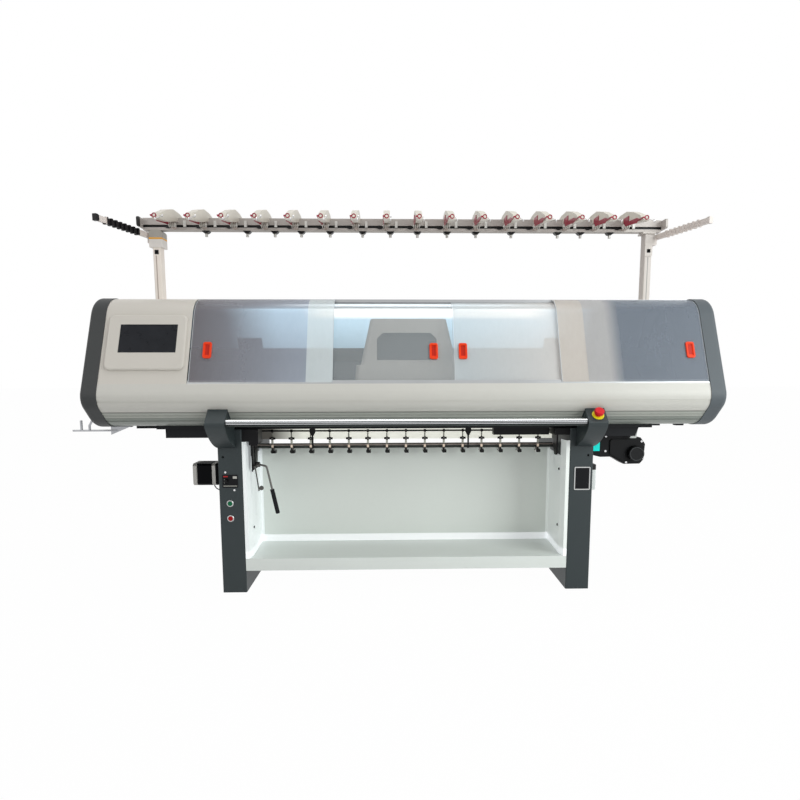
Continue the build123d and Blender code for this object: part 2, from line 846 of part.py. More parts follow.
def pulley(x):
    """Flanged belt pulley on its pin."""
    low = bed_centre_y + belt_reach - belt_width / 2 - 0.3
    top = low + belt_width + 0.6
    body = rod((x, low, pulley_z), (x, top, pulley_z), pulley_radius)
    body = body + rod((x, low - pulley_flange, pulley_z), (x, low, pulley_z), pulley_flange_radius)
    body = body + rod((x, top, pulley_z), (x, top + pulley_flange, pulley_z), pulley_flange_radius)
    bore = pulley_pin_radius + running_clearance
    return body - rod((x, low - 5, pulley_z), (x, top + 5, pulley_z), bore)


def yarn_feeders():
    """Feeder slides on both rails, each with a finger that ends over the throat."""
    feeders = []
    rail_top = feeder_rail_low_z + feeder_rail_height
    for index in range(feeder_count):
        side = -1 if index % 2 else 1
        x = feeder_first_x + index * feeder_pitch
        middle = side * feeder_rail_reach
        half = feeder_rail_width / 2 + feeder_clearance
        wall = half + feeder_wall
        ring = window(
            (middle - wall, feeder_rail_low_z - feeder_wall - feeder_clearance),
            (middle + wall, rail_top + feeder_wall + feeder_clearance),
        )
        ring = ring - window(
            (middle - half, feeder_rail_low_z - feeder_clearance),
            (middle + half, rail_top + feeder_clearance),
        )
        finger_top = feeder_rail_low_z - feeder_wall
        finger = outline(
            [
                (middle - side * 4, finger_top),
                (middle + side * 4, finger_top),
                (side * 3, throat_z + feeder_tip_gap),
                (-side * 2, throat_z + feeder_tip_gap),
            ]
        )
        slide = along_x(Pos(bed_centre_y, 0) * ring, x, x + feeder_width)
        tip = along_x(Pos(bed_centre_y, 0) * finger, x + 8, x + feeder_width - 8)
        feeders.append(slide + tip)
    return feeders


# The bracket's face runs from the cover's nose forwards, round and back to the leg.
bracket_top_z = nose_z - 34.0
bracket_top_y = -(nose_y - 34.0)
bracket_nose_y = -nose_y - 24.0
bracket_nose_z = body_bottom + 25.0
bracket_chin_y = -nose_y - 18.0
bracket_chin_z = body_bottom + 6.0
bracket_belly = (-388.0, leg_height - 37.0)
bracket_foot_z = leg_height - 80.0
top_slope = Vector(0, bracket_nose_y - bracket_top_y, bracket_nose_z - bracket_top_z).normalized()
estop_axis = Vector(0, top_slope.Z, -top_slope.Y)


def bracket_face(inset=0.0):
    """Side view of the start bar's bracket, with its back against the cover and the leg."""
    top = (bracket_top_y + inset * 3, bracket_top_z - inset * 0.2)
    nose = (bracket_nose_y + inset, bracket_nose_z - inset * 0.4)
    chin = (bracket_chin_y + inset, bracket_chin_z + inset * 0.4)
    belly = (bracket_belly[0] + inset * 0.6, bracket_belly[1] + inset)
    foot = (-leg_half_depth, bracket_foot_z + inset * 2)
    back = (-leg_half_depth, bracket_top_z)
    edges = [
        Line(top, nose),
        Line(nose, chin),
        ThreePointArc(chin, belly, foot),
        Line(foot, back),
        Line(back, top),
    ]
    face = make_face(edges)
    return face - section(0.3 + inset)


def bar_bracket():
    """Right bracket with a recessed inner side and a bearing hole for the bar's pin."""
    bracket = along_x(bracket_face(), bracket_inner_x, leg_outer_x)
    nose_edges = bracket.edges().filter_by(Axis.X).filter_by_position(
        Axis.Y, bracket_nose_y - 1, bracket_chin_y + 1
    )
    bracket = fillet(nose_edges, 9)
    recess = along_x(bracket_face(5), bracket_inner_x - 1, bracket_inner_x + bracket_recess)
    bracket = bracket - recess
    hole_end = bracket_inner_x + bracket_recess + bar_pin_length + 1
    hole = rod((bracket_inner_x - 1, bar_y, bar_z), (hole_end, bar_y, bar_z), bar_pin_radius + running_clearance)
    return bracket - hole


def estop_plane(height):
    """Plane square to the stop button's axis, at a height over the bracket's top face."""
    middle = Vector(estop_x, (bracket_top_y + bracket_nose_y) / 2, (bracket_top_z + bracket_nose_z) / 2)
    return Plane(origin=middle + estop_axis * height, x_dir=(1, 0, 0), z_dir=estop_axis)


def estop():
    """Mushroom head on its stem, and the yellow ring under it."""
    hole = Circle(estop_stem_radius + slide_clearance)
    ring = extrude(estop_plane(0) * (Circle(estop_ring_radius) - hole), estop_ring_thickness)
    stem = extrude(estop_plane(-10) * Circle(estop_stem_radius), 10 + estop_stand_off)
    head = extrude(estop_plane(estop_stand_off) * Circle(estop_cap_radius), estop_cap_height)
    rim = head.faces().sort_by(Axis((0, 0, 0), estop_axis))[-1].edges()
    head = fillet(rim, 4)
    return ring, stem + head


def start_bar():
    """Extruded bar with three grooves along its front, on a pin at each end."""
    end = bracket_inner_x - bar_end_gap
    pin_end = bracket_inner_x + bracket_recess + bar_pin_length
    profile = Circle(bar_radius)
    for turn in bar_groove_turns:
        y = bar_radius * cos(radians(turn))
        z = bar_radius * sin(radians(turn))
        profile = profile - Pos(y, z) * Rot(0, 0, turn) * Rectangle(2 * bar_groove_depth, bar_groove_width)
    bar = along_x(Pos(bar_y, bar_z) * profile, -end, end)
    return bar + rod((-pin_end, bar_y, bar_z), (pin_end, bar_y, bar_z), bar_pin_radius)


def push_button(z):
    """Button that slides in its bezel at the left leg's front."""
    start = (-button_x, -leg_half_depth - button_proud, z)
    body = rod(start, (-button_x, -leg_half_depth + button_depth, z), button_radius)
    return chamfer(body.faces().sort_by(Axis.Y)[0].edges(), 1.5)


def button_bore(z):
    deep = -leg_half_depth + button_depth + button_travel + 2
    return rod((-button_x, -leg_half_depth - 1, z), (-button_x, deep, z), button_radius + slide_clearance)


def button_bezel(z):
    start = (-button_x, -leg_half_depth - bezel_ring_thickness, z)
    ring = rod(start, (-button_x, -leg_half_depth, z), bezel_ring_radius)
    ring = chamfer(ring.faces().sort_by(Axis.Y)[0].edges(), 1.2)
    return ring - rod((-button_x, -leg_half_depth - 9, z), (-button_x, 0, z), button_radius + slide_clearance)


def breaker():
    """Breaker plate, its toggle on a cross pin, and the room behind the plate."""
    plate = block(
        (breaker_left, breaker_right),
        (-leg_half_depth - plate_thickness, -leg_half_depth),
        (breaker_low_z, breaker_top_z),
    )
    plate = fillet(plate.edges().filter_by(Axis.Y), 3)
    half = toggle_width / 2
    wide = (toggle_x - half - 0.5, toggle_x + half + 0.5)
    room_half = toggle_radius + 1
    room = block(wide, (-leg_half_depth - 9, -leg_half_depth + 11), (toggle_z - room_half, toggle_z + room_half))
    plate = plate - room
    axis_y = -leg_half_depth + 0.5
    hub = rod((toggle_x - half, axis_y, toggle_z), (toggle_x + half, axis_y, toggle_z), toggle_radius)
    nub_y = (axis_y - toggle_radius - toggle_lever, axis_y)
    nub = block((toggle_x - half + 2, toggle_x + half - 2), nub_y, (toggle_z - 3, toggle_z + 3))
    toggle = hub + nub
    toggle = toggle - rod((toggle_x - 20, axis_y, toggle_z), (toggle_x + 20, axis_y, toggle_z), 2.05)
    pin = rod((wide[0], axis_y, toggle_z), (wide[1], axis_y, toggle_z), 2)
    tilt = Location((0, axis_y, toggle_z)) * Location((0, 0, 0), (-toggle_swing / 2, 0, 0))
    back = Location((0, -axis_y, -toggle_z))
    toggle = tilt * back * toggle
    return plate, toggle, room, pin


def blank_plate():
    """Bare plate with a raised rim on the right leg."""
    face_y = -leg_half_depth - plate_thickness
    x = (blank_left, blank_right)
    z = (blank_low_z, blank_top_z)
    plate = block(x, (face_y, -leg_half_depth), z)
    plate = fillet(plate.edges().filter_by(Axis.Y), 5)
    inner_x = (blank_left + blank_rim, blank_right - blank_rim)
    inner_z = (blank_low_z + blank_rim, blank_top_z - blank_rim)
    return plate - block(inner_x, (face_y - 1, face_y + 1), inner_z)


def trough_side():
    """Right side sheet: a flange beside the leg, a splayed strip behind it and a long wall."""
    wall = trough_wall
    fold = trough_side_fold_x
    back = trough_side_back_x
    front = trough_side_front_x
    plan = [
        (leg_inner_x, trough_front_y),
        (leg_inner_x, trough_front_y + wall),
        (front + wall, trough_front_y + wall),
        (fold + wall, trough_fold_y),
        (back + wall, trough_back_y),
        (back, trough_back_y),
        (fold, trough_fold_y),
        (front, trough_front_y),
    ]
    sheet = extrude(Plane.XY.offset(trough_floor_z) * outline(plan), trough_side_top_z - trough_floor_z)
    nick = block(
        (fold - 10, leg_inner_x + 1),
        (trough_fold_y + 8, trough_back_y + 1),
        (trough_back_top_z - 10, trough_side_top_z + 1),
    )
    return sheet - nick


def trough_walls():
    """Back sheet with a folded top edge, and the two side sheets."""
    back_x = (-trough_side_back_x - trough_wall, trough_side_back_x + trough_wall)
    back = block(back_x, (trough_back_y, trough_back_y + trough_wall), (trough_floor_z, trough_back_top_z))
    fold_z = (trough_back_top_z - trough_wall, trough_back_top_z)
    back = back + block(back_x, (trough_back_y, trough_back_y + 22), fold_z)
    side = trough_side()
    return [back, side, mirror_x(side)]


def trough_floor():
    """Folded tray: a floor, a deep lip in front and a low lip behind."""
    x = (-leg_inner_x, leg_inner_x)
    back = trough_back_y + trough_wall
    floor = block(x, (trough_front_y, back), (trough_floor_z - trough_wall, trough_floor_z))
    floor = floor + block(x, (trough_front_y, trough_front_y + trough_wall), (trough_lip_low_z, trough_floor_z))
    floor = floor + block(x, (trough_front_y, trough_front_y + 18), (trough_lip_low_z, trough_lip_low_z + trough_wall))
    return floor + block(x, (back - trough_wall, back), (trough_floor_z - 30, trough_floor_z))


def takedown_plate(points, radii):
    """Bearing plate from its outline as (Y, Z), on the right of the trough."""
    return along_x(outline(points, radii), side_plate_x, side_plate_x + side_plate_thickness)


def left_takedown_plate():
    """Comb-shaped plate with two fingers, one for the crank and one for the lever."""
    points = [
        (crank_y - 13, leg_height),
        (hanger_rod_y + 12, leg_height),
        (hanger_rod_y + 12, plate_bar_z),
        (lever_y + 38, plate_bar_z),
        (lever_y + 18, plate_finger_z),
        (lever_y - 18, plate_finger_z),
        (lever_y - 23, plate_bar_z),
        (crank_y + 11, plate_bar_z),
        (crank_y + 11, plate_finger_z),
        (crank_y - 13, plate_finger_z),
    ]
    plate = mirror_x(takedown_plate(points, [3, 3, 3, 3, 10, 10, 3, 3, 6, 6]))
    box = block((-leg_inner_x, -left_block_x), (block_front_y, block_back_y), (block_low_z, leg_height))
    box = fillet(box.edges().filter_by(Axis.Y).sort_by(Axis.X)[-2:].sort_by(Axis.Z)[0], 12)
    step_x = (-leg_inner_x - 1, -side_plate_x - side_plate_thickness - 6)
    step = block(step_x, (block_front_y - 1, block_back_y + 1), (block_low_z - 1, trough_side_top_z + 0.3))
    return plate + box - step


def right_takedown_plate():
    """Plate with one rounded finger, and a small block beside the leg."""
    points = [
        (lever_y - 25, leg_height),
        (hanger_rod_y + 12, leg_height),
        (hanger_rod_y + 12, plate_bar_z),
        (lever_y + 38, plate_bar_z),
        (lever_y + 12, roller_z - 27),
        (lever_y - 25, roller_z - 27),
    ]
    plate = takedown_plate(points, [3, 3, 3, 3, 12, 12])
    box = block((side_plate_x - 24, leg_inner_x), (block_front_y, lever_y), (leg_height - small_block_drop, leg_height))
    return plate + box


def roller_bearing():
    """Bearing block on the right leg's inner side for the main roller's journal."""
    y = (roller_y - bearing_half, roller_y + bearing_half)
    z = (roller_z - bearing_half, roller_z + bearing_half)
    body = block((bearing_x, leg_inner_x), y, z)
    body = chamfer(body.edges().filter_by(Axis.X), 6)
    bore = journal_radius + running_clearance
    return body - rod((bearing_x - 1, roller_y, roller_z), (leg_inner_x + 1, roller_y, roller_z), bore)


press_z = roller_z - sqrt((roller_radius + press_radius + press_gap) ** 2 - press_shift_y**2)
press_y = roller_y + press_shift_y


def press_places():
    return [(index - (press_count - 1) / 2) * press_pitch for index in range(press_count)]


def press_arm(x):
    """Arm that hangs by an eye from the rod and holds a press roller's pin from one side."""
    y = hanger_rod_y
    half = hanger_eye_length / 2
    arm = rod((x - half, y, hanger_rod_z), (x + half, y, hanger_rod_z), hanger_eye_radius)
    bore = hanger_rod_radius + running_clearance
    arm = arm - rod((x - half - 1, y, hanger_rod_z), (x + half + 1, y, hanger_rod_z), bore)
    arm = arm + rod((x, y, hanger_rod_z - hanger_eye_radius + 1), (x, y, arm_tee_z), arm_rod_radius)
    thick = arm_strap_thickness / 2
    tee_z = (arm_tee_z - arm_tee_height / 2, arm_tee_z + arm_tee_height / 2)
    arm = arm + block((x - arm_tee_half, x + arm_tee_half), (y - thick, y + thick), tee_z)
    arm = arm + rod((x, y - 2 * thick, arm_tee_z), (x, y + thick, arm_tee_z), arm_tee_radius)
    arm = arm + block((x - arm_strap_half, x + arm_strap_half), (y - thick, y + thick), (press_z, arm_tee_z))
    cheek_low = x + press_width / 2 + 2
    cheek_top = cheek_low + arm_strap_thickness
    low_z = press_z - ring_nut_radius
    high_z = press_z + 5
    arm = arm + block((x - arm_strap_half, cheek_top), (y - thick, y + thick), (low_z, high_z))
    arm = arm + block((cheek_low, cheek_top), (y - thick, press_y + 7), (low_z, high_z))
    nut = rod((x, y - 3 * thick, press_z), (x, y - thick, press_z), ring_nut_radius)
    nut = nut - rod((x, y - 3 * thick - 1, press_z), (x, y - thick - 1, press_z), ring_nut_hole)
    pin = rod((cheek_low + 1, press_y, press_z), (x - press_width / 2 - 1.5, press_y, press_z), press_pin_radius)
    return arm + nut + pin


def stay(x):
    """Diamond lug under the girder with a long pin in front of the roller."""
    half = 16.0
    diamond = outline(
        [
            (x - half * 0.5, leg_height),
            (x - half, leg_height - stay_drop / 2),
            (x - 5, leg_height - stay_drop),
            (x + 5, leg_height - stay_drop),
            (x + half, leg_height - stay_drop / 2),
            (x + half * 0.5, leg_height),
        ]
    )
    lug = along_y(diamond, stay_y - 3, stay_y + 3)
    return lug + rod((x, stay_y, leg_height - stay_drop + 4), (x, stay_y, leg_height - stay_pin_drop), 4)


def takedown_frame():
    """Plates joined by the hanger rod, its arms, the roller's bearings, the stays and a cable box."""
    ends = side_plate_x + side_plate_thickness / 2
    frame = left_takedown_plate() + right_takedown_plate()
    frame = frame + rod((-ends, hanger_rod_y, hanger_rod_z), (ends, hanger_rod_y, hanger_rod_z), hanger_rod_radius)
    bearing = roller_bearing()
    cable_y = (lever_y - 27, lever_y + 13)
    cable_box = block((cable_box_left, cable_box_right), cable_y, (cable_box_low_z, leg_height))
    pieces = [frame, bearing, mirror_x(bearing), stay(stay_left_x), stay(stay_right_x), cable_box]
    return pieces + [press_arm(x) for x in press_places()]


def takedown_roller():
    """Main roller with a turned journal at each end."""
    half = bearing_x - 3.5
    end = leg_inner_x - 2.5
    roller = rod((-half, roller_y, roller_z), (half, roller_y, roller_z), roller_radius)
    return roller + rod((-end, roller_y, roller_z), (end, roller_y, roller_z), journal_radius)


def press_rollers():
    wheels = []
    half = press_width / 2
    for x in press_places():
        wheel = rod((x - half, press_y, press_z), (x + half, press_y, press_z), press_radius)
        bore = press_pin_radius + running_clearance
        wheels.append(wheel - rod((x - 20, press_y, press_z), (x + 20, press_y, press_z), bore))
    return wheels


def release_lever():
    """Bent lever on a pin in the left plate, and the rubber grip on its end."""
    start = -side_plate_x
    knee = Vector(start + lever_reach, lever_y, lever_z - 8)
    tip = knee + Vector(lever_side, 0, -lever_length)
    path = FilletPolyline((start + 10, lever_y, lever_z), knee, tip, radius=14)
    section_plane = Plane(origin=path @ 0, z_dir=path % 0)
    bent = sweep(section_plane * Circle(lever_rod_radius), path)
    hub = rod((start + 0.4, lever_y, lever_z), (start + 14, lever_y, lever_z), 12)
    lever = hub + bent
    down = (tip - knee).normalized()
    hidden = grip_length - 8
    grip_start = tip - down * hidden
    grip = Solid.make_cylinder(grip_radius, grip_length, Plane(origin=grip_start, z_dir=down))
    grip = chamfer(grip.edges().sort_by(Axis.Z)[0], 3)
    grip = grip - Solid.make_cylinder(lever_rod_radius, hidden, Plane(origin=grip_start, z_dir=down))
    hole = rod((start, lever_y, lever_z), (start + 8, lever_y, lever_z), 4 + running_clearance)
    pin = rod((start - 2, lever_y, lever_z), (start + 7, lever_y, lever_z), 4)
    return lever - hole, grip, pin


def hand_crank():
    """Short crank arm with a round knob that faces the operator, on its own pin."""
    start = -side_plate_x
    tip = Vector(start + 19, crank_y, crank_z - crank_length)
    hub = rod((start + 0.4, crank_y, crank_z), (start + 9, crank_y, crank_z), 9)
    arm = rod((start + 5, crank_y, crank_z), tip, 3)
    middle = tip + Vector(11, 0, 14)
    knob = rod(middle + Vector(0, -5, 0), middle + Vector(0, 5, 0), crank_knob_radius)
    knob = chamfer(knob.edges(), 1.5)
    hole = rod((start, crank_y, crank_z), (start + 6, crank_y, crank_z), 3 + running_clearance)
    pin = rod((start - 2, crank_y, crank_z), (start + 5, crank_y, crank_z), 3)
    return hub + arm + knob - hole, pin


def takedown_stepper():
    """Stepping motor with its axis along X: mounting block, end plates and a laminated body."""
    y, z = stepper_y, stepper_z
    half = stepper_size / 2
    wall_x = -leg_outer_x
    motor = block((wall_x - 12, wall_x), (y - half - 8, y + half + 8), (z - half - 8, z + half + 8))
    body = block((-stepper_end_x, wall_x - 12), (y - half, y + half), (z - half, z + half))
    body = chamfer(body.edges().filter_by(Axis.X), 9)
    for x in (wall_x - 12 - stepper_plate, -stepper_end_x + stepper_plate):
        ring = block((x - 1.5, x + 1.5), (y - half - 1, y + half + 1), (z - half - 1, z + half + 1))
        ring = ring - block((x - 2, x + 2), (y - half + 3, y + half - 3), (z - half + 3, z + half - 3))
        body = body - ring
    return motor + body


def stepper_lead():
    """Motor lead that bends out of the motor's underside and into the leg."""
    drop = lead_radius + lead_bend
    top = stepper_z - stepper_size / 2
    corner = Vector(lead_x, stepper_y, top - drop)
    path = FilletPolyline((lead_x, stepper_y, top), corner, (-leg_outer_x, stepper_y, top - drop), radius=lead_bend)
    print("lead: bend", lead_bend, "length", round(path.length, 1))
    start = Plane(origin=path @ 0, z_dir=path % 0)
    return sweep(start * Circle(lead_radius), path)


def drive_gearbox():
    """Belt case under the right outrigger, with a raised lid."""
    end = right_outrigger_x
    corners = [
        (leg_outer_x + 44.5 - end, 0),
        (-2, 0),
        (24, 16),
        (50, 17),
        (73, 48),
        (68, 122),
        (51, 142),
        (-26, 143),
        (-86, 108),
        (-138, 109),
        (leg_outer_x + 44.5 - end, 101),
    ]
    points = [(end + x, outrigger_bottom - drop) for x, drop in corners]
    case = along_y(outline(points, [2, 2, 2, 8, 8, 8, 6, 10, 14, 8, 6]), gearbox_front_y, gearbox_back_y)
    corners = [(-95, 25), (25, 25), (28, 51), (-15, 121), (-35, 126), (-95, 95)]
    points = [(end + x, outrigger_bottom - drop) for x, drop in corners]
    lid = outline(points, [12, 12, 12, 12, 12, 12])
    lid = lid - Pos(drive_motor_x, drive_motor_z) * Circle(drive_motor_radius + 1)
    return case + along_y(lid, gearbox_front_y - 8, gearbox_front_y)


def drive_motor():
    """Round motor on the front of the belt case, with a turned rim."""
    face = (drive_motor_x, gearbox_front_y, drive_motor_z)
    front = (drive_motor_x, gearbox_front_y - drive_motor_length, drive_motor_z)
    body = rod(face, front, drive_motor_radius)
    body = chamfer(body.faces().sort_by(Axis.Y)[0].edges(), 2)
    dish = Pos(drive_motor_x, front[1], drive_motor_z) * Rot(90, 0, 0) * Cylinder(drive_motor_radius - 6, 4)
    return body - dish


def stand_post():
    """Plain right upright with rounded edges."""
    x = (post_x - post_width / 2, post_x + post_width / 2)
    post = block(x, (post_front_y, post_back_y), (body_top, rail_low_z))
    return fillet(post.edges().filter_by(Axis.Z), 5)


def left_post():
    """Left upright with the tall rounded collar under the rail and a hole below it."""
    y = (post_front_y - collar_margin, post_back_y + collar_margin)
    x = (-post_x - collar_half, -post_x + collar_half)
    collar = block(x, y, (rail_low_z - collar_height, rail_low_z))
    collar = fillet(collar.edges().filter_by(Axis.Y).group_by(Axis.Z)[-1], 14)
    hole_z = rail_low_z - collar_height - 22
    hole = rod((-post_x, post_front_y - 1, hole_z), (-post_x, post_front_y + 12, hole_z), 9)
    return mirror_x(stand_post()) + collar - hole


def right_post():
    """Right upright with a bracket plate under the rail, a side block and a front plate."""
    y = (post_front_y - collar_margin, post_back_y + collar_margin)
    plate = block((post_x - collar_half, post_x + collar_half), y, (rail_low_z - 8, rail_low_z))
    side = block((post_x, post_x + collar_half), (post_front_y + 4, post_back_y), (rail_low_z - 60, rail_low_z - 8))
    half = post_width / 2
    front_z = (rail_low_z - 112, rail_low_z - 12)
    front = block((post_x - half, post_x + half), (post_front_y - 4, post_front_y + 1), front_z)
    hole_z = rail_low_z - 88
    hole = rod((post_x, post_front_y - 5, hole_z), (post_x, post_front_y + 8, hole_z), 8)
    return stand_post() + plate + side + front - hole


def yarn_rail():
    """Extruded rail with a slot along its front, and an end block that reaches forwards."""
    y = (rail_front_y, rail_back_y)
    rail = block((-rail_half_length, rail_half_length), y, (rail_low_z, rail_high_z))
    slot = block(
        (-rail_half_length - 1, rail_half_length + 1),
        (rail_front_y - 1, rail_front_y + rail_slot_depth),
        (rail_slot_z - rail_slot_height / 2, rail_slot_z + rail_slot_height / 2),
    )
    top_slot_y = ((rail_front_y + rail_back_y) / 2 - 5, (rail_front_y + rail_back_y) / 2 + 5)
    top_slot = block((-rail_half_length - 1, rail_half_length + 1), top_slot_y, (rail_high_z - 8, rail_high_z + 1))
    rail = rail - slot - top_slot
    end_x = (rail_half_length, rail_half_length + 10)
    end = block(end_x, (rail_front_y - rail_end_reach, rail_back_y), (rail_low_z + 9, rail_high_z - 4))
    end = chamfer(end.edges().filter_by(Axis.X).group_by(Axis.Y)[0], 6)
    return rail + end + mirror_x(end)


def device_places():
    return [device_first_x + index * device_pitch for index in range(device_count)]


def stop_motion(x):
    """Low domed housing over the rail with a long sloping nose, and a foot against the rail."""
    top = rail_high_z
    drops = [
        (rail_back_y + 24, -device_gap),
        (rail_back_y + 34, -14),
        (rail_back_y - 16, -device_top),
        (-30, -device_top),
        (-110, 0),
        (-180, 30),
        (-205, 50),
        (-215, 62),
        (-185, 60),
        (-68, 42),
        (-5, 25),
        (rail_front_y - device_gap, 20),
        (rail_front_y - device_gap, -device_gap),
    ]
    face = outline([(y, top - drop) for y, drop in drops])
    case = along_x(face, x - device_half, x + device_half)
    case = case + block((x - 12, x + 4), (rail_front_y - 20, rail_front_y), (rail_low_z + 5, top - 10))
    pivot = (x + device_half - 1, arm_pivot_y, arm_pivot_z)
    return case + rod(pivot, (x + device_half + 8, arm_pivot_y, arm_pivot_z), 3)


def slot_peg(x):
    """Yarn peg clipped into the rail's front slot beside a housing."""
    peg_x = (x + peg_shift - peg_width / 2, x + peg_shift + peg_width / 2)
    low = rail_slot_z - peg_drop
    return block(peg_x, (rail_front_y - 8, rail_front_y), (low, low + peg_height))


def yarn_guide(x):
    """Plate on the housing's left side, a slanted strip in front of it and an eyelet on a strut."""
    top = rail_high_z
    side = (x - device_half - guide_sheet, x - device_half)
    guide = block(side, (-62, -2), (top - 30, top - 4))
    drops = [(-20, 42), (-150, 58), (-178, 46), (-150, 36), (-20, 26)]
    guide = guide + along_x(outline([(y, top - drop) for y, drop in drops]), *side)
    y = (guide_ring_y - 2, guide_ring_y + 2)
    z = (guide_ring_z - 3, guide_ring_z + 3)
    guide = guide + block(side, (y[0], -170), z)
    guide = guide + block((side[0], x - guide_ring_hole - 1), y, z)
    ring = rod((x, y[0], guide_ring_z), (x, y[1], guide_ring_z), guide_ring_radius)
    hole = rod((x, y[0] - 1, guide_ring_z), (x, y[1] + 1, guide_ring_z), guide_ring_hole)
    return guide + ring - hole


def yarn_arm(x):
    """Sensing arm: a wire that reaches down to an eye, on a hub beside the housing."""
    side = x + device_half
    start = (side + 1.2, arm_pivot_y, arm_pivot_z)
    hub = rod(start, (side + 7, arm_pivot_y, arm_pivot_z), 6)
    hub = hub - rod((side, arm_pivot_y, arm_pivot_z), (side + 9, arm_pivot_y, arm_pivot_z), 3.05)
    middle = side + 4
    run = Vector(0, arm_tip_y - arm_pivot_y, arm_tip_z - arm_pivot_z).normalized()
    wire_start = Vector(middle, arm_pivot_y, arm_pivot_z) + run * 5
    tip = Vector(middle, arm_tip_y, arm_tip_z)
    wire = rod(wire_start, tip, arm_wire_radius)
    centre = tip + run * 4.5
    eye = rod(centre - Vector(1.5, 0, 0), centre + Vector(1.5, 0, 0), 6.5)
    return hub + wire + eye - rod(centre - Vector(2, 0, 0), centre + Vector(2, 0, 0), 3.5)


def half_disc(x, drop, y):
    """Round plate under a level edge, cut off level at that edge: chord, drop, and depth in Y."""
    edge, depth = drop
    radius = (clamp_half**2 + depth**2) / (2 * depth)
    disc = Pos(x, edge - depth + radius) * Circle(radius)
    disc = disc & window((x - clamp_half, edge - depth - 1), (x + clamp_half, edge))
    return along_y(disc, *y)


def rail_clamp(x):
    """Half-round clamp under the rail with a round knob below."""
    body = half_disc(x, (rail_low_z, clamp_drop), (rail_front_y + 6, rail_back_y - 4))
    middle = (rail_front_y + rail_back_y) / 2
    low = rail_low_z - clamp_knob_drop
    return body + rod((x, middle, rail_low_z - clamp_drop + 1), (x, middle, low), clamp_knob_radius)


def slot_disc(x):
    """Half-round black plate against the rail's front, under the slot."""
    return half_disc(x, (rail_slot_z, slot_disc_drop), (rail_front_y - 4, rail_front_y))


def side_arm():
    """Right arm with guide blocks that reaches forwards and outwards from the post."""
    start_x = post_x + collar_half
    start = Vector(start_x + side_arm_thickness / 2, post_front_y + 30, side_arm_low_z + side_arm_height / 2)
    end = start + Vector(side_arm_spread, -side_arm_reach, 0)
    direction = (end - start).normalized()
    plane = Plane(origin=start, x_dir=(0, 0, 1), z_dir=direction)
    length = (end - start).length
    arm = extrude(plane * Rectangle(side_arm_height, side_arm_thickness), length)
    lap = block((start_x, start_x + 10), (post_front_y + 4, post_back_y), (rail_low_z - 58, rail_low_z - 12))
    arm = arm + lap
    for index in range(8):
        reach = length * (0.25 + index * 0.08)
        seat = Plane(origin=start + direction * reach, x_dir=(0, 0, 1), z_dir=direction)
        arm = arm + extrude(seat * Rectangle(side_arm_height + 6, side_arm_thickness + 8), 11)
    cap = Plane(origin=end - direction * 12, x_dir=(0, 0, 1), z_dir=direction)
    return arm + extrude(cap * Rectangle(side_arm_height + 4, side_arm_thickness + 4), 16)


def hook_bracket():
    """Triangular plate under the left cap with a rod, an upright pin and a strip to the cap."""
    top = body_bottom - cap_proud
    plate = outline([(hook_plate_left, top), (hook_plate_right, top), (hook_plate_left, top - hook_drop)])
    bracket = along_y(plate, hook_y - 2, hook_y + 2)
    bracket = bracket + block((hook_plate_left, hook_plate_right), (hook_y - 2, hook_y + 22), (top - 3, top))
    bracket = bracket + rod((hook_plate_left + 30, hook_y, hook_rod_z), (hook_tip_x, hook_y, hook_rod_z), hook_rod_radius)
    pin = rod((hook_pin_x, hook_y, hook_rod_z), (hook_pin_x, hook_y, hook_pin_top), hook_rod_radius + 1)
    strip = outline(
        [
            (-cap_outer_x, body_bottom + 48),
            (-cap_outer_x - 8, body_bottom + 48),
            (-cap_outer_x - 30, body_bottom + 32),
            (-cap_outer_x - 48, body_bottom + 2),
            (-cap_outer_x - 48, hook_rod_z),
            (-cap_outer_x - 42, hook_rod_z),
            (-cap_outer_x - 42, body_bottom),
            (-cap_outer_x - 26, body_bottom + 26),
            (-cap_outer_x - 6, body_bottom + 40),
            (-cap_outer_x, body_bottom + 40),
        ]
    )
    return bracket + pin + along_y(strip, hook_y - 5, hook_y + 5)


# Covers and ends
right_cap = end_cap()
parts["right_end_cap"] = right_cap
parts["left_end_cap"] = mirror_x(right_cap)
parts["lower_front_cover"] = lower_front_cover()
parts["rear_cover"] = rear_cover()
parts["console_panel"], parts["touch_screen"] = console_panel()
parts["door_tracks"] = door_tracks()

# Beds, girder and carriage
front_bed = needle_bed()
parts["front_needle_bed"] = front_bed
rear_bed = mirror(front_bed, about=Plane.XZ.offset(-bed_centre_y))
parts["rear_needle_bed"] = Pos(0, bed_clearance / sqrt(2), bed_clearance / sqrt(2)) * rear_bed
parts["bed_girder"] = bed_girder()
parts["cross_rails"] = cross_rails()
parts["carriage_saddle"] = carriage_saddle()
parts["carriage_hood"] = carriage_hood()
parts["drive_belt"] = drive_belt()
parts["right_pulley"] = pulley(pulley_x)
parts["left_pulley"] = pulley(-pulley_x)
parts["yarn_feeders"] = yarn_feeders()
light_y = (-165, -135)
light_x = (console_split_x + 15, cover_end_x - 8)
parts["light_bar"] = block(light_x, light_y, (body_top - cover_wall - 22, body_top - cover_wall))

# Doors, which meet at the middle and lap at the sides
parts["far_left_door"] = door(door_a_left, door_a_right, outer_door_depth)
parts["mid_left_door"] = door(door_b_left, door_meet_x - side_gap / 2, inner_door_depth)
parts["mid_right_door"] = door(door_meet_x + side_gap / 2, door_c_right, inner_door_depth)
parts["far_right_door"] = door(door_d_left, cover_end_x - side_gap, outer_door_depth)
parts["far_left_pull"] = door_pull(pull_a_x, outer_door_depth)
parts["mid_left_pull"] = door_pull(pull_b_x, inner_door_depth)
parts["mid_right_pull"] = door_pull(pull_c_x, inner_door_depth)
parts["far_right_pull"] = door_pull(pull_d_x, outer_door_depth)

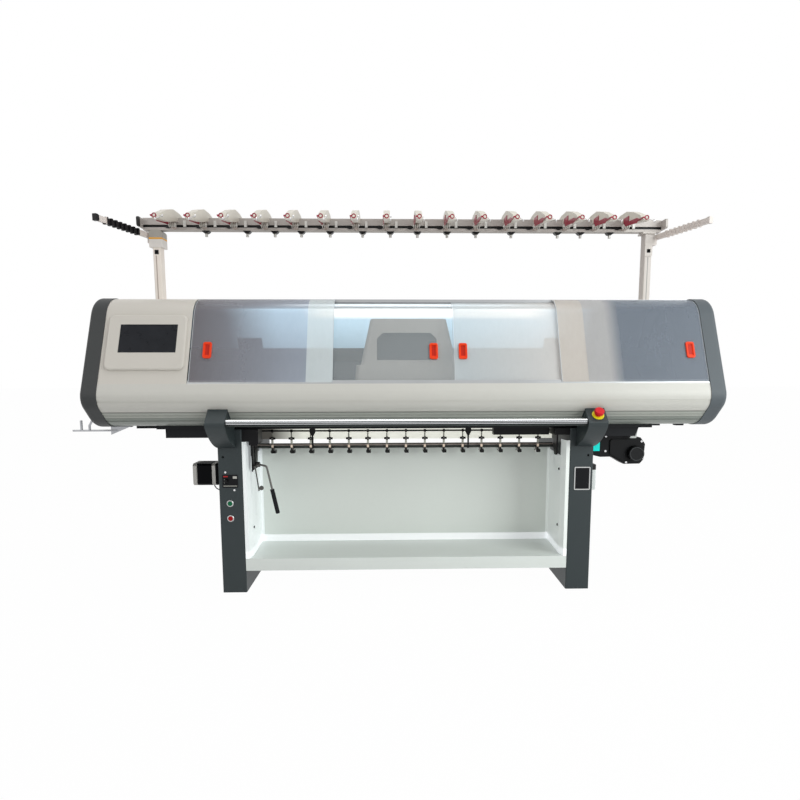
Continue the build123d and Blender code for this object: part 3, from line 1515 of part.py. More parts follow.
# Start bar with its brackets and the emergency stop
bracket = bar_bracket()
stem_bore = extrude(
    estop_plane(-10 - estop_travel - 1) * Circle(estop_stem_radius + slide_clearance), 10 + estop_travel + 2
)
parts["right_bar_bracket"] = bracket - stem_bore
parts["left_bar_bracket"] = mirror_x(bracket)
parts["start_bar"] = start_bar()
parts["estop_ring"], parts["estop_head"] = estop()

# Legs with their buttons and plates
right_leg = leg_box()
plate, toggle, toggle_room, toggle_pin = breaker()
parts["right_leg"] = right_leg
left_leg = mirror_x(right_leg) - toggle_room - button_bore(green_button_z) - button_bore(red_button_z)
parts["left_leg"] = left_leg + toggle_pin
parts["green_button"] = push_button(green_button_z)
parts["red_button"] = push_button(red_button_z)
parts["button_bezels"] = [button_bezel(green_button_z), button_bezel(red_button_z)]
parts["leg_plates"] = [plate, blank_plate()]
parts["breaker_toggle"] = toggle

# Trough and take-down
parts["trough_walls"] = trough_walls()
parts["trough_floor"] = trough_floor()
lever, grip, lever_pin = release_lever()
crank, crank_pin = hand_crank()
frame_solids = takedown_frame()
frame_solids[0] = frame_solids[0] + lever_pin + crank_pin
parts["takedown_frame"] = frame_solids
parts["takedown_roller"] = takedown_roller()
parts["press_rollers"] = press_rollers()
parts["release_lever"] = lever
parts["lever_grip"] = grip
parts["hand_crank"] = crank
beam_x = (-leg_inner_x, leg_inner_x)
parts["tie_beam"] = block(beam_x, (tie_beam_y, tie_beam_y + tie_beam_thickness), (tie_beam_low_z, leg_height))
parts["takedown_stepper"] = takedown_stepper()
parts["stepper_lead"] = stepper_lead()

# Right underside
parts["drive_gearbox"] = drive_gearbox()
parts["drive_motor"] = drive_motor()
guard = block((leg_outer_x, leg_outer_x + 44.5), (-243, -239), (outrigger_bottom - 69, outrigger_bottom))
box = block((leg_outer_x, leg_outer_x + 34.5), (-238, -150), (452, 568))
strut_x = right_outrigger_x + 2
strut = [(0, 0), (16, 0), (8, -55), (-21, -55)]
strut = along_y(outline([(strut_x + x, leg_height + z) for x, z in strut]), -205, -195)
parts["side_boxes"] = [guard, chamfer(box.edges().filter_by(Axis.Z), 4), strut]

# Yarn stand
parts["stand_posts"] = [left_post(), right_post()]
parts["yarn_rail"] = yarn_rail()
parts["stop_motions"] = [stop_motion(x) for x in device_places()] + [slot_peg(x) for x in device_places()]
parts["yarn_guides"] = [yarn_guide(x) for x in device_places()]
parts["yarn_arms"] = [yarn_arm(x) for x in device_places()]
clamps = [rail_clamp(device_first_x + step * device_pitch) for step in clamp_steps]
parts["rail_clamps"] = clamps + [slot_disc(x + slot_disc_shift) for x in device_places()]
arm = side_arm()
parts["side_arms"] = [arm, mirror_x(arm)]
parts["hook_bracket"] = hook_bracket()

os.makedirs("parts", exist_ok=True)
for name, shape in parts.items():
    if isinstance(shape, list):
        pieces = [solid for item in shape for solid in item.solids()]
    else:
        pieces = list(shape.solids())
    whole = pieces[0] if len(pieces) == 1 else Compound(children=pieces)
    export_step(whole, f"parts/{name}.step")
print(len(parts), "nodes")
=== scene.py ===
# %% [markdown]
# # A flat knitting machine, dressed for a picture
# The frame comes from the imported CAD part: legs, covers, needle beds, carriage, doors and yarn stand all stand in
# their real places, in metres. This lesson gives each of them a finish, and adds the small things that are easier
# to grow in Blender, such as needles, screws and springs.

import math

import bmesh
import bpy
from mathutils import Matrix, Vector


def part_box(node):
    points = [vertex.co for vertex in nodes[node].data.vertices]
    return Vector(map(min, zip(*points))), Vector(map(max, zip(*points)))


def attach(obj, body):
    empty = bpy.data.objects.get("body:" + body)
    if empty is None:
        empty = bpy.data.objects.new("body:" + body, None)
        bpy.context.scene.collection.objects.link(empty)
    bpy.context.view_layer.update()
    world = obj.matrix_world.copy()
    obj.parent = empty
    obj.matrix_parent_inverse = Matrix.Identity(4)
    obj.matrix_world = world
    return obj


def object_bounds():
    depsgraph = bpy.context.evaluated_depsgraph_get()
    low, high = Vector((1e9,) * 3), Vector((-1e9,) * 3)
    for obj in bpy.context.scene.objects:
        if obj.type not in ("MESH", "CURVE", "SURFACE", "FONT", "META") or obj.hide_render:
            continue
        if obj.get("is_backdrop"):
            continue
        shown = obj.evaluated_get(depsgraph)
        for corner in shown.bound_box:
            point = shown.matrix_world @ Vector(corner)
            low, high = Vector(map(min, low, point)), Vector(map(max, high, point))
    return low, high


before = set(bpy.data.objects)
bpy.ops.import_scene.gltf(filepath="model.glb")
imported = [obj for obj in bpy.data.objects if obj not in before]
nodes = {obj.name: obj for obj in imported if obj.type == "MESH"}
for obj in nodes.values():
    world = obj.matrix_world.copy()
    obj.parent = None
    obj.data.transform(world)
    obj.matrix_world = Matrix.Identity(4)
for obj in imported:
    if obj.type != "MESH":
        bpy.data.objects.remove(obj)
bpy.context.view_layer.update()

# %% [markdown]
# ## Sums on sockets
# A finish is a small sum: a base colour, plus a little noise, times a mask. Blender writes such sums as nodes. One
# small class lets Python write them: it wraps a socket, and each operator adds the Math node that does the work.
# The reflected forms are there too, so that `1 - mask` works as well as `mask - 1`.


# %% A socket that takes part in sums
class Strand:
    """One socket of a node tree."""

    def __init__(self, loom, socket):
        self.loom = loom
        self.socket = socket

    def sum(self, operation, *values):
        return self.loom.node("ShaderNodeMath", {"operation": operation}, list(values))

    def __add__(self, other):
        return self.sum("ADD", self, other)

    def __sub__(self, other):
        return self.sum("SUBTRACT", self, other)

    def __rsub__(self, other):
        return self.sum("SUBTRACT", other, self)

    def __mul__(self, other):
        return self.sum("MULTIPLY", self, other)

    def __truediv__(self, other):
        return self.sum("DIVIDE", self, other)

    def __gt__(self, other):
        return self.sum("GREATER_THAN", self, other)

    def __lt__(self, other):
        return self.sum("LESS_THAN", self, other)

    __radd__ = __add__
    __rmul__ = __mul__

    def clamp(self):
        return self.loom.node("ShaderNodeClamp", {}, [self])

    def other(self, output):
        """Another output of the node that this one comes from."""
        return Strand(self.loom, self.socket.node.outputs[output])


class Loom:
    """A node tree, with one method that adds any node."""

    def __init__(self, tree):
        self.tree = tree

    def node(self, kind, settings=None, inputs=None, output=0):
        made = self.tree.nodes.new(kind)
        for key, value in (settings or {}).items():
            setattr(made, key, value)
        feed = inputs.items() if isinstance(inputs, dict) else enumerate(inputs or [])
        for name, value in feed:
            self.feed(made.inputs[name], value)
        return Strand(self, made.outputs[output])

    def feed(self, socket, value):
        if isinstance(value, Strand):
            self.tree.links.new(value.socket, socket)
        else:
            socket.default_value = value


print("sums ready")

# %% [markdown]
# ## A finish
# Every finish starts the same way: a material with its Principled shader, and the point of the surface in Object
# coordinates. Because each piece sits at the origin with its place in its mesh, those coordinates are metres in the
# machine's own frame, so a grain of 2 mm is simply noise at a scale of 500.


# %% The finish class
class Finish(Loom):
    """A material under construction."""

    def __init__(self, name, colour, rough, metal=0.0, **steady):
        self.material = bpy.data.materials.new(name)
        self.material.use_nodes = True
        super().__init__(self.material.node_tree)
        self.shader = self.tree.nodes["Principled BSDF"]
        self.colour = (*colour, 1)
        self.set("Base Color", self.colour)
        self.set("Roughness", rough)
        self.set("Metallic", metal)
        for name, value in steady.items():
            self.set(name.replace("_", " "), value)
        self.point = self.node("ShaderNodeTexCoord", output="Object")
        self.material.diffuse_color = self.colour

    def set(self, name, value):
        self.feed(self.shader.inputs[name], value)

    def axis(self, letter):
        return self.node("ShaderNodeSeparateXYZ", {}, [self.point], output=letter)

    def away(self, **centre):
        """The distance from an axis, told by where it crosses two of the coordinates."""
        first, second = (self.axis(letter) - place for letter, place in centre.items())
        squares = first * first + second * second
        return squares.sum("SQRT", squares)

    def noise(self, scale, detail=3.0, rough=0.55, stretch=None):
        place = self.point
        if stretch:
            place = self.node("ShaderNodeVectorMath", {"operation": "MULTIPLY"}, [self.point, stretch])
        sizes = {"Vector": place, "Scale": scale, "Detail": detail, "Roughness": rough}
        return self.node("ShaderNodeTexNoise", {}, sizes)

    def cells(self, scale):
        sizes = {"Vector": self.point, "Scale": scale}
        return self.node("ShaderNodeTexVoronoi", {"feature": "SMOOTH_F1"}, sizes)

    def mix(self, mask, first, second, **settings):
        """Two colours, or strands of colour, mixed by a mask. Sockets 6, 7 and 2 are the node's colour sockets."""
        ends = [tone if isinstance(tone, Strand) else (*tone[:3], 1) for tone in (first, second)]
        settings = {"data_type": "RGBA", **settings}
        return self.node("ShaderNodeMix", settings, {0: mask, 6: ends[0], 7: ends[1]}, output=2)

    def shades(self, mask, darker, lighter):
        """The base colour between a darker and a lighter shade of itself."""
        low = [part * darker for part in self.colour[:3]]
        high = [min(1.0, part * lighter) for part in self.colour[:3]]
        return self.mix(mask, low, high)

    def bump(self, height, depth, strength=1.0):
        sizes = {"Height": height, "Distance": depth, "Strength": strength}
        self.set("Normal", self.node("ShaderNodeBump", {}, sizes))

    def band(self, value, low, high, soft=0.0005):
        """1 between two values and 0 outside them, with soft edges."""
        rise = ((value - low) / soft).clamp()
        fall = ((high - value) / soft).clamp()
        return rise * fall


print("finish ready")

# %% [markdown]
# ## Paint, plastic and metal
# Powder paint has a faint orange peel a millimetre or two across and a very slow drift of tone. Moulded plastic has
# a finer, sharper grain. Ground steel and drawn aluminium carry streaks along their length, so their noise is
# stretched. Cast iron is lumpy, and rubber is dull with a fine grain. Each recipe below is one of those families,
# and each piece of the machine then takes it with its own colour.


# %% Recipes
def painted(name, colour, rough, peel=420.0, gloss=0.5):
    coat = {"Coat_Weight": 0.16 * gloss, "Coat_Roughness": 0.3}
    made = Finish(name, colour, rough, Specular_IOR_Level=gloss, **coat)
    slow = made.noise(3.0, 2.0)
    fine = made.noise(peel, 2.0)
    dust = made.noise(60.0, 5.0, 0.7)
    tone = slow * 0.55 + dust * 0.3 + fine * 0.15
    made.set("Base Color", made.shades(tone, 0.93, 1.07))
    made.set("Roughness", rough - 0.06 + dust * 0.12)
    made.bump(fine, 0.00006)
    return made


def moulded(name, colour, rough=0.5, grain=1400.0, depth=0.00005, coat=0.0, gloss=0.5):
    made = Finish(name, colour, rough, Coat_Weight=coat, Specular_IOR_Level=gloss)
    speck = made.cells(grain)
    slow = made.noise(6.0, 3.0)
    made.set("Base Color", made.shades(slow * 0.7 + speck * 0.3, 0.9, 1.1))
    made.set("Roughness", rough - 0.08 + slow * 0.16)
    made.bump(speck, depth)
    return made


def ground(name, colour, rough=0.28, stretch=(6.0, 900.0, 900.0), metal=1.0, depth=0.00002):
    made = Finish(name, colour, rough, metal)
    streak = made.noise(1.0, 4.0, 0.6, stretch)
    haze = made.noise(14.0, 3.0)
    made.set("Base Color", made.shades(streak * 0.6 + haze * 0.4, 0.86, 1.1))
    made.set("Roughness", rough - 0.1 + streak * 0.14 + haze * 0.06)
    made.bump(streak, depth)
    return made


def cast(name, colour):
    made = Finish(name, colour, 0.55, Specular_IOR_Level=0.2)
    lumps = made.noise(260.0, 5.0, 0.65)
    slow = made.noise(9.0, 3.0)
    made.set("Base Color", made.shades(lumps * 0.5 + slow * 0.5, 0.75, 1.25))
    made.set("Roughness", 0.45 + lumps * 0.2)
    made.bump(lumps, 0.0004)
    return made


def rubbery(name, colour):
    made = Finish(name, colour, 0.7, Specular_IOR_Level=0.2)
    grain = made.noise(900.0, 3.0)
    slow = made.noise(25.0, 3.0)
    made.set("Base Color", made.shades(slow, 0.8, 1.3))
    made.set("Roughness", 0.6 + grain * 0.2)
    made.bump(grain, 0.00008)
    return made


print("recipes: painted, moulded, ground, cast, rubbery")

# %% [markdown]
# ## Who wears what
# The large covers are a warm pale grey, the legs and end caps a dark slate, and the working parts black or bright
# metal. One helper dresses a CAD node: the node keeps its shape and only gets a new material in its slot. The
# helper also keeps the names that it dressed, so that a forgotten piece shows up in a printed list.

# %% Legs, gearbox, girder and rubber
dressed = set()


def dress(finish, *names):
    for name in names:
        slots = nodes[name].data.materials
        slots.clear()
        slots.append(finish.material)
        dressed.add(name)


slate = painted("slate_powder", (0.028, 0.038, 0.041), 0.5, gloss=0.35)
dress(slate, "left_leg", "right_leg", "left_bar_bracket", "right_bar_bracket")
black_paint = painted("black_enamel", (0.0045, 0.005, 0.006), 0.38, gloss=0.16)
dress(black_paint, "drive_gearbox")
dress(cast("girder_iron", (0.007, 0.008, 0.01)), "bed_girder")
dress(rubbery("belt_rubber", (0.008, 0.008, 0.01)), "drive_belt", "stepper_lead", "lever_grip")
print(len(bpy.data.materials), "finishes so far")

# %% [markdown]
# ## Moulded pieces
# The end caps and the hood have a grain that is deep enough to spread the light. The buttons and the yarn guides are
# smoother. They differ in little more than colour, so they share one recipe and a table holds what differs.

# %% Moulded pieces
left_skin = moulded("left_cap_skin", (0.042, 0.045, 0.046), 0.5, 900.0, 0.00008, gloss=0.3)
dress(left_skin, "left_end_cap")
# The right cap is the same plastic as the left, painted lighter and bluer as painted light from the lamps on the
# right.
lit_right_skin = moulded("right_cap_skin", (0.088, 0.103, 0.115), 0.5, 900.0, 0.00008, gloss=0.35)
dress(lit_right_skin, "right_end_cap")
dress(moulded("hood_skin", (0.62, 0.58, 0.53)), "carriage_hood")
dress(moulded("clamp_black", (0.005, 0.005, 0.006), 0.4, gloss=0.2), "breaker_toggle")
dress(moulded("ring_yellow", (0.86, 0.78, 0.02), 0.4, gloss=0.3), "estop_ring")
smooth_plastic = [
    ("guide_maroon", (0.3, 0.004, 0.03), 0.3, 0.00003, 0.3, "yarn_guides"),
    ("button_green", (0.001, 0.13, 0.05), 0.35, 0.00002, 0.2, "green_button"),
    ("button_red", (0.36, 0.001, 0.003), 0.35, 0.00002, 0.2, "red_button"),
    ("stop_red", (0.62, 0.008, 0.015), 0.35, 0.00002, 0.25, "estop_head"),
]
for finish_name, colour, rough, depth, gloss, node in smooth_plastic:
    dress(moulded(finish_name, colour, rough, 700.0, depth, gloss=gloss), node)
print(len(bpy.data.materials), "finishes so far")

# %% [markdown]
# ## Door pulls
# A pull is a cup: its rim is bright orange, and the floor of the cup lies in shadow. The CAD model has the cup, but
# light reaches too much of so shallow a shape. A mask inside the rim, taken from the pull's own box, deepens it.

# %% Door pulls
rim_side, rim_foot, rim_head = 0.0095, 0.014, 0.010
for node in ("far_left_pull", "mid_left_pull", "mid_right_pull", "far_right_pull"):
    low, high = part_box(node)
    pull = moulded(node + "_orange", (0.84, 0.05, 0.008), 0.35, 700.0, 0.00003, gloss=0.25)
    across = pull.band(pull.axis("X"), low.x + rim_side, high.x - rim_side)
    upright = pull.band(pull.axis("Z"), low.z + rim_foot, high.z - rim_head, 0.002)
    tone = pull.shades(pull.noise(6.0), 0.9, 1.1)
    pull.set("Base Color", pull.mix(across * upright, tone, (0.5, 0.016, 0.004)))
    dress(pull, node)
    print(node, "is", round((high.z - low.z) * 1000), "mm high")

# %% [markdown]
# ## Bare metal
# The grain follows the way a piece was made: along the bed, down a feeder, round a pulley. The three numbers after
# the roughness stretch the noise, and its streaks are long where the number is low. That is cheaper than a picture
# of scratches, and it fits a piece of any size.

# %% Bare metal
bed_steel = ground("bed_steel", (0.06, 0.065, 0.072), 0.75, metal=0.15)
dress(bed_steel, "front_needle_bed", "rear_needle_bed", "cross_rails", "carriage_saddle")
dress(ground("satin_aluminium", (0.42, 0.43, 0.44), 0.34), "door_tracks")
upright_grain = (300.0, 300.0, 8.0)
dress(ground("feeder_metal", (0.035, 0.034, 0.036), 0.5, upright_grain, 0.4), "yarn_feeders")
dress(ground("crank_metal", (0.1, 0.1, 0.095), 0.4, upright_grain), "hand_crank")
polished = {"stretch": (240.0, 240.0, 30.0), "depth": 0.00001}
dress(ground("bezel_metal", (0.5, 0.5, 0.5), 0.25, **polished), "button_bezels")
chrome = ground("bright_chrome", (0.78, 0.78, 0.79), 0.16, **polished)
dress(chrome, "yarn_arms")
pulley_metal = ground("pulley_metal", (0.55, 0.55, 0.57), 0.3, (500.0, 40.0, 500.0))
dress(pulley_metal, "left_pulley", "right_pulley")
lever_steel = ground("lever_steel", (0.14, 0.135, 0.13), 0.36, (60.0, 60.0, 400.0))
dress(lever_steel, "release_lever")
dress(ground("hook_zinc", (0.4, 0.41, 0.43), 0.4, (30.0, 400.0, 400.0)), "hook_bracket")
print(len(bpy.data.materials), "finishes so far")

# %% [markdown]
# ## Trough
# The trough is folded from enamelled sheet. Its side sheets catch more light than its back, the left one most, and
# the floor throws some up onto the foot of the back. That light is mixed in as a paler tone and a faint glow.

# %% Trough
trough_paint = painted("trough_enamel", (0.8, 0.84, 0.8), 0.36)
sheet_x, foot_top, foot_fade = 0.7, 0.192, 0.004
left_sheet = trough_paint.axis("X") < -sheet_x
right_sheet = trough_paint.axis("X") > sheet_x
foot = ((foot_top - trough_paint.axis("Z")) / foot_fade).clamp()
slow, dust = trough_paint.noise(3.0, 2.0), trough_paint.noise(60.0, 5.0, 0.7)
tone = trough_paint.shades(slow * 0.6 + dust * 0.4, 0.95, 1.04)
tone = trough_paint.mix(left_sheet * 0.8, tone, (0.97, 1.0, 1.0))
tone = trough_paint.mix(right_sheet * 0.5, tone, (0.97, 1.0, 0.97))
trough_paint.set("Base Color", trough_paint.mix(foot * 0.9, tone, (1.0, 1.0, 1.0)))
lit_share = (left_sheet + right_sheet * 0.6 + foot * 1.4) * 0.5
trough_paint.set("Emission Color", trough_paint.mix(lit_share, (0, 0, 0), (0.28, 0.30, 0.32)))
trough_paint.set("Emission Strength", 1.0)
dress(trough_paint, "trough_walls")
dress(painted("tray_enamel", (0.78, 0.82, 0.79), 0.36), "trough_floor")
print("trough: sheets outside", sheet_x, "m, foot below", foot_top, "m")

# %% [markdown]
# ## Motor and tie beam
# The motor's end plate has a painted highlight: a thin bright ring round its middle, told by the distance from the
# motor's axis. The beam behind the take-down roller is a pale strip that stands out from the dark round it, and it
# gets a glow of its own, painted light since the beam is no lamp. Its left end is darker grey, with no glow.

# %% Motor and tie beam
motor_shell = cast("motor_shell", (0.006, 0.0065, 0.0075))
motor_face_y, highlight_inner, highlight_outer = -0.19, 0.0285, 0.0315
# A painted highlight: a thin bright ring on the end plate, round the motor's axis.
ring = motor_shell.band(motor_shell.away(X=1.072, Z=0.610), highlight_inner, highlight_outer, 0.001)
ring = ring * (motor_shell.axis("Y") < motor_face_y)
tone = motor_shell.shades(motor_shell.noise(160.0, 4.0, 0.7), 0.9, 1.1)
motor_shell.set("Base Color", motor_shell.mix(ring, tone, (0.1, 0.105, 0.11)))
dress(motor_shell, "drive_motor")
beam_paint = painted("beam_enamel", (0.86, 0.86, 0.8), 0.4)
greyed_until, greyed_fade = -0.66, 0.16
# The pale part glows, which is painted light; the left end is darker grey, without glow.
glowing_part = ((beam_paint.axis("X") - greyed_until) / greyed_fade).clamp()
beam_paint.set("Base Color", beam_paint.mix(glowing_part, (0.2, 0.19, 0.17), (0.88, 0.88, 0.82)))
strip_glow = glowing_part * (0.8 + beam_paint.noise(40.0, 2.0) * 0.3)
beam_paint.set("Emission Color", beam_paint.mix(strip_glow, (0.05, 0.045, 0.04), (0.93, 0.94, 0.84)))
beam_paint.set("Emission Strength", 0.6)
dress(beam_paint, "tie_beam")
print("motor ring", highlight_inner, "to", highlight_outer, "m; beam greyed up to X", greyed_until)

# %% [markdown]
# ## Covers
# The sheet covers are painted the same pale grey. The seams and rolled grooves get thin dark lines of painted shade,
# and the sheet below them bends back out of the light, which is painted shade too. The same recipe is used, and
# masks on height darken it in steps towards its lower edge, each by a share that a noise varies.

# %% Front cover and console
cover = painted("cover_enamel", (0.6, 0.59, 0.55), 0.36, 380.0, gloss=0.4)
bend_top, bend_fade, fold_top, fold_fade = 0.8255, 0.004, 0.799, 0.002
upper_seam, lower_seam = (0.8205, 0.8245), (0.7975, 0.8005)
height = cover.axis("Z")
dust = cover.noise(34.0, 5.0, 0.65)
paint_tone = cover.shades(cover.noise(3.0, 2.0) * 0.6 + dust * 0.4, 0.94, 1.06)
below_bend = ((bend_top - height) / bend_fade).clamp()
below_fold = ((fold_top - height) / fold_fade).clamp()
# The seams are thin dark lines of painted shade.
seams = (cover.band(height, *upper_seam) + cover.band(height, *lower_seam)).clamp()
shade_patchiness = 0.75 + dust * 0.25
# Painted shade in two steps, below the bend and below the fold, its share varied by noise.
paint_tone = cover.mix(below_bend * shade_patchiness, paint_tone, (0.38, 0.40, 0.36))
paint_tone = cover.mix(below_fold * shade_patchiness, paint_tone, (0.2, 0.225, 0.2))
cover.set("Base Color", cover.mix(seams * 0.6, paint_tone, (0.07, 0.075, 0.065)))
dress(cover, "lower_front_cover")
dress(painted("panel_enamel", (0.62, 0.59, 0.54), 0.34, 380.0, gloss=0.4), "console_panel")
print("the cover darkens below", bend_top, "m and again below", fold_top, "m")

# %% [markdown]
# ## Lining of the rear cover
# The rear cover is pale paint outside. Its inner face, the lining, is painted with light and shade: dark below, as
# painted shade, and pale blue above, as painted light where the lamp shines on it. The two faces are told apart by
# which way they look. The lamp's light is also given as a glow of the lining: a wide blue field over its upper part,
# and a white strip near the lamp itself.

# %% Rear cover
back = painted("back_enamel", (0.6, 0.585, 0.545), 0.36, 380.0)
lining_foot, lamp_foot, field_foot = 1.108, 1.262, 1.10
wide_field, lamp_strip = (-0.93, 1.0, 0.26), (-0.53, 0.78, 0.12)
outward = back.node("ShaderNodeTexCoord", output="Normal")
lining = back.node("ShaderNodeSeparateXYZ", {}, [outward], output="Y") < -0.02
back_tone = back.shades(back.noise(3.0, 2.0) * 0.6 + back.noise(34.0, 5.0, 0.65) * 0.4, 0.94, 1.06)
across, height = back.axis("X"), back.axis("Z")
upper = ((height - lining_foot) / 0.012).clamp()
# Painted shade below and painted lamp light above, in the base colour of the inner face.
lining_light_and_shade = back.mix(upper, (0.05, 0.055, 0.062), (0.42, 0.52, 0.62))
back.set("Base Color", back.mix(lining, back_tone, lining_light_and_shade))
field = back.band(across, *wide_field) * upper * (0.30 + (height - field_foot) / 0.5)
field_light = back.mix(field, (0, 0, 0), (0.55, 0.82, 1.0))
strip = back.band(across, *lamp_strip) * ((height - lamp_foot) / 0.02).clamp()
lamp_light = back.mix(strip, field_light, (1.0, 1.0, 0.97))
back.set("Emission Color", back.mix(lining, (0, 0, 0), lamp_light))
back.set("Emission Strength", 1.9)
dress(back, "rear_cover")
print("the lining is lit from", lining_foot, "m upwards")

# %% [markdown]
# ## Start bar
# The bar is drawn aluminium with grooves along its front. A groove is told by its distance from the bar's axis,
# which is less than the bar's radius, and its floor is painted dark, as shade. The bar's belly gets painted shade
# too, because it looks at the floor: what lies lower than a few millimetres under the axis is painted dark and made
# duller.

# %% Start bar finish
bar = ground("bar_aluminium", (0.84, 0.86, 0.88), 0.26)
low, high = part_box("start_bar")
axis_y, axis_z = (low.y + high.y) / 2, (low.z + high.z) / 2
groove_depth, belly_drop, belly_fade = 0.0009, 0.0065, 0.0012
in_groove = bar.away(Y=axis_y, Z=axis_z) < (high.z - low.z) / 2 - groove_depth
# The groove floors and the belly are painted dark, as shade.
groove = in_groove * (bar.axis("Y") < axis_y)
belly = ((axis_z - belly_drop - bar.axis("Z")) / belly_fade).clamp()
satin = bar.shades(bar.noise(1.0, 4.0, 0.6, (6.0, 900.0, 900.0)), 0.85, 1.1)
satin = bar.mix(belly, satin, (0.02, 0.027, 0.026))
bar.set("Metallic", 1 - belly * 0.9)
bar.set("Roughness", 0.26 + belly * 0.4)
bar.set("Base Color", bar.mix(groove, satin, (0.02, 0.022, 0.025)))
dress(bar, "start_bar")
print("start bar:", round((high.z - low.z) * 1000, 1), "mm thick")

# %% [markdown]
# ## Frosted doors
# The doors are bent sheets of pale acrylic. They let the light of the lamp behind them through, and blur what is
# far behind. A rough transmission would blur too, but an exported model shows it badly, so this uses the sheet's
# opacity: a cloudy veil with a share of its own on each door. Its colour runs from one tone to another across each
# door, the acrylic's own tone with painted light and shade: the lamp's glow and the dark inside seen through it.
# Cut edges catch the light, so they are brighter. A sheet is painted paler where its neighbour lies over it, as
# painted light.

# %% Door finish
frosting = [
    ("far_left_door", (-0.910, -0.313), (0.29, 0.275, 0.3), (0.57, 0.64, 0.75), 0.44),
    ("mid_left_door", (-0.425, 0.1995), (0.5, 0.54, 0.56), (0.5, 0.54, 0.56), 0.3),
    ("mid_right_door", (0.2005, 0.765), (0.66, 0.72, 0.75), (0.86, 0.82, 0.79), 0.56),
    ("far_right_door", (0.650, 1.277), (0.62, 0.61, 0.61), (0.25, 0.285, 0.34), 0.5),
]
tone_turns = {"far_right_door": (0.86, 0.92)}
laps = {
    "far_left_door": (-0.425, -0.30, (0.86, 0.93, 0.95)),
    "far_right_door": (0.64, 0.765, (0.72, 0.67, 0.62)),
}
edge_width = 0.0022
for name, (left, right), start_tone, end_tone, veil in frosting:
    sheet = Finish(name + "_acrylic", start_tone, 0.3, IOR=1.3)
    along = sheet.axis("X")
    turn_start, turn_end = tone_turns.get(name, (left, right))
    share = ((along - turn_start) / (turn_end - turn_start)).clamp()
    edge = 1 - sheet.band(along, left + edge_width, right - edge_width, 0.0008)
    cloud = sheet.noise(3.0, 4.0)
    scuff = sheet.noise(1.0, 5.0, 0.7, (60.0, 60.0, 6.0))
    # The run of tones across the door is the acrylic's own tone with painted light and shade.
    tint_and_light = sheet.mix((share + (cloud - 0.5) * 0.1).clamp(), start_tone, end_tone)
    if name in laps:
        lap_start, lap_end, lap_light = laps[name]
        # A painted paler strip, as painted light, where the neighbouring sheet lies over this one.
        tint_and_light = sheet.mix(sheet.band(along, lap_start, lap_end, 0.001), tint_and_light, lap_light)
    sheet.set("Base Color", sheet.mix(edge, tint_and_light, (0.66, 0.70, 0.73)))
    sheet.set("Roughness", 0.24 + scuff * 0.16)
    sheet.set("Alpha", (veil + (cloud - 0.5) * 0.1 + (scuff - 0.5) * 0.06 + edge * 0.12).clamp())
    sheet.bump(scuff, 0.00002)
    dress(sheet, name)
    print(name, "is", round(right - left, 3), "m wide, with", veil, "of veil")

# %% [markdown]
# ## Lamp and screen
# A strip of white light runs behind the top of the doors, and fades towards its ends. It is a material that glows,
# because the strip itself is seen through the doors. The screen is dark glass over a switched-off panel, with faint
# smears in its tone and its gloss.

# %% Lamp and screen
lamp = Finish("lamp_diffuser", (0.9, 0.93, 0.96), 0.5)
lit_from, lit_to, lit_fade = -0.62, 0.72, 0.3
lit_tone = lamp.mix(lamp.noise(20.0, 2.0), (0.8, 0.92, 1.0), (0.92, 0.98, 1.0))
lit = lamp.band(lamp.axis("X"), lit_from, lit_to, lit_fade)
lamp.set("Emission Color", lamp.mix(lit, (0.01, 0.011, 0.012), lit_tone))
lamp.set("Emission Strength", 1.6)
dress(lamp, "light_bar")
glass = Finish("screen_glass", (0.012, 0.013, 0.016), 0.1, Specular_IOR_Level=0.12)
smear = glass.noise(22.0, 4.0, 0.6)
glass.set("Base Color", glass.mix(smear, (0.008, 0.009, 0.012), (0.02, 0.022, 0.027)))
glass.set("Roughness", 0.2 + smear * 0.2)
dress(glass, "touch_screen")
print("the lamp is lit from X", lit_from, "to", lit_to)

# %% [markdown]
# ## Two-tone pieces
# Some CAD nodes hold two materials on the real machine. Two material slots would need every face sorted into one of
# them. A mask on position picks the colour without that, and a faint grit lies over both.


# %% Two-tone recipe
def two_tone(name, node, first, second, rough, mask_of, shiny=0.0, gloss=0.25):
    made = Finish(name, first, rough, Specular_IOR_Level=gloss)
    mask = mask_of(made)
    grit = made.noise(500.0, 3.0)
    slow = made.noise(12.0, 3.0)
    grime = made.mix(slow * 0.5 + grit * 0.5, (0.86, 0.86, 0.86), (1.0, 1.0, 1.0))
    tone = made.mix(mask, first, second)
    made.set("Base Color", made.mix(1.0, tone, grime, blend_type="MULTIPLY"))
    made.set("Metallic", mask * shiny)
    made.set("Roughness", rough - 0.05 + grit * 0.1)
    made.bump(grit, 0.00004)
    dress(made, node)
    print(node, "wears", name)


print("two tones ready")

# %% [markdown]
# ## Stepping motor, clamps and side arms
# The stepping motor has silver end plates on a black stack, and the side arms are pale metal with black guide blocks.
# Both are told by how far along the piece they are. The clamps under the rail are black with bright knobs, and the
# knobs are simply what lies lowest.

# %% Stepping motor, clamps and side arms
end_plates = ((-0.990, -0.957), (-0.890, -0.874))
knob_top = 1.6437
arm_root, arm_reach = 0.058, -0.35
first_block, block_pitch, block_count, tip_block = 0.25, 0.08, 8, 0.955


def stepper_ends(made):
    left, right = (made.band(made.axis("X"), *plate) for plate in end_plates)
    return (left + right).clamp()


def arm_blocks(made):
    along = made.axis("Y")
    row_start = arm_root + arm_reach * first_block + 0.002
    row_end = arm_root + arm_reach * (first_block + (block_count - 1) * block_pitch + 0.035)
    blocks = made.band(along, row_end, row_start) + (along < arm_root + arm_reach * tip_block)
    return blocks.clamp() * (made.axis("X") < 0)


def knobs(made):
    return made.axis("Z") < knob_top


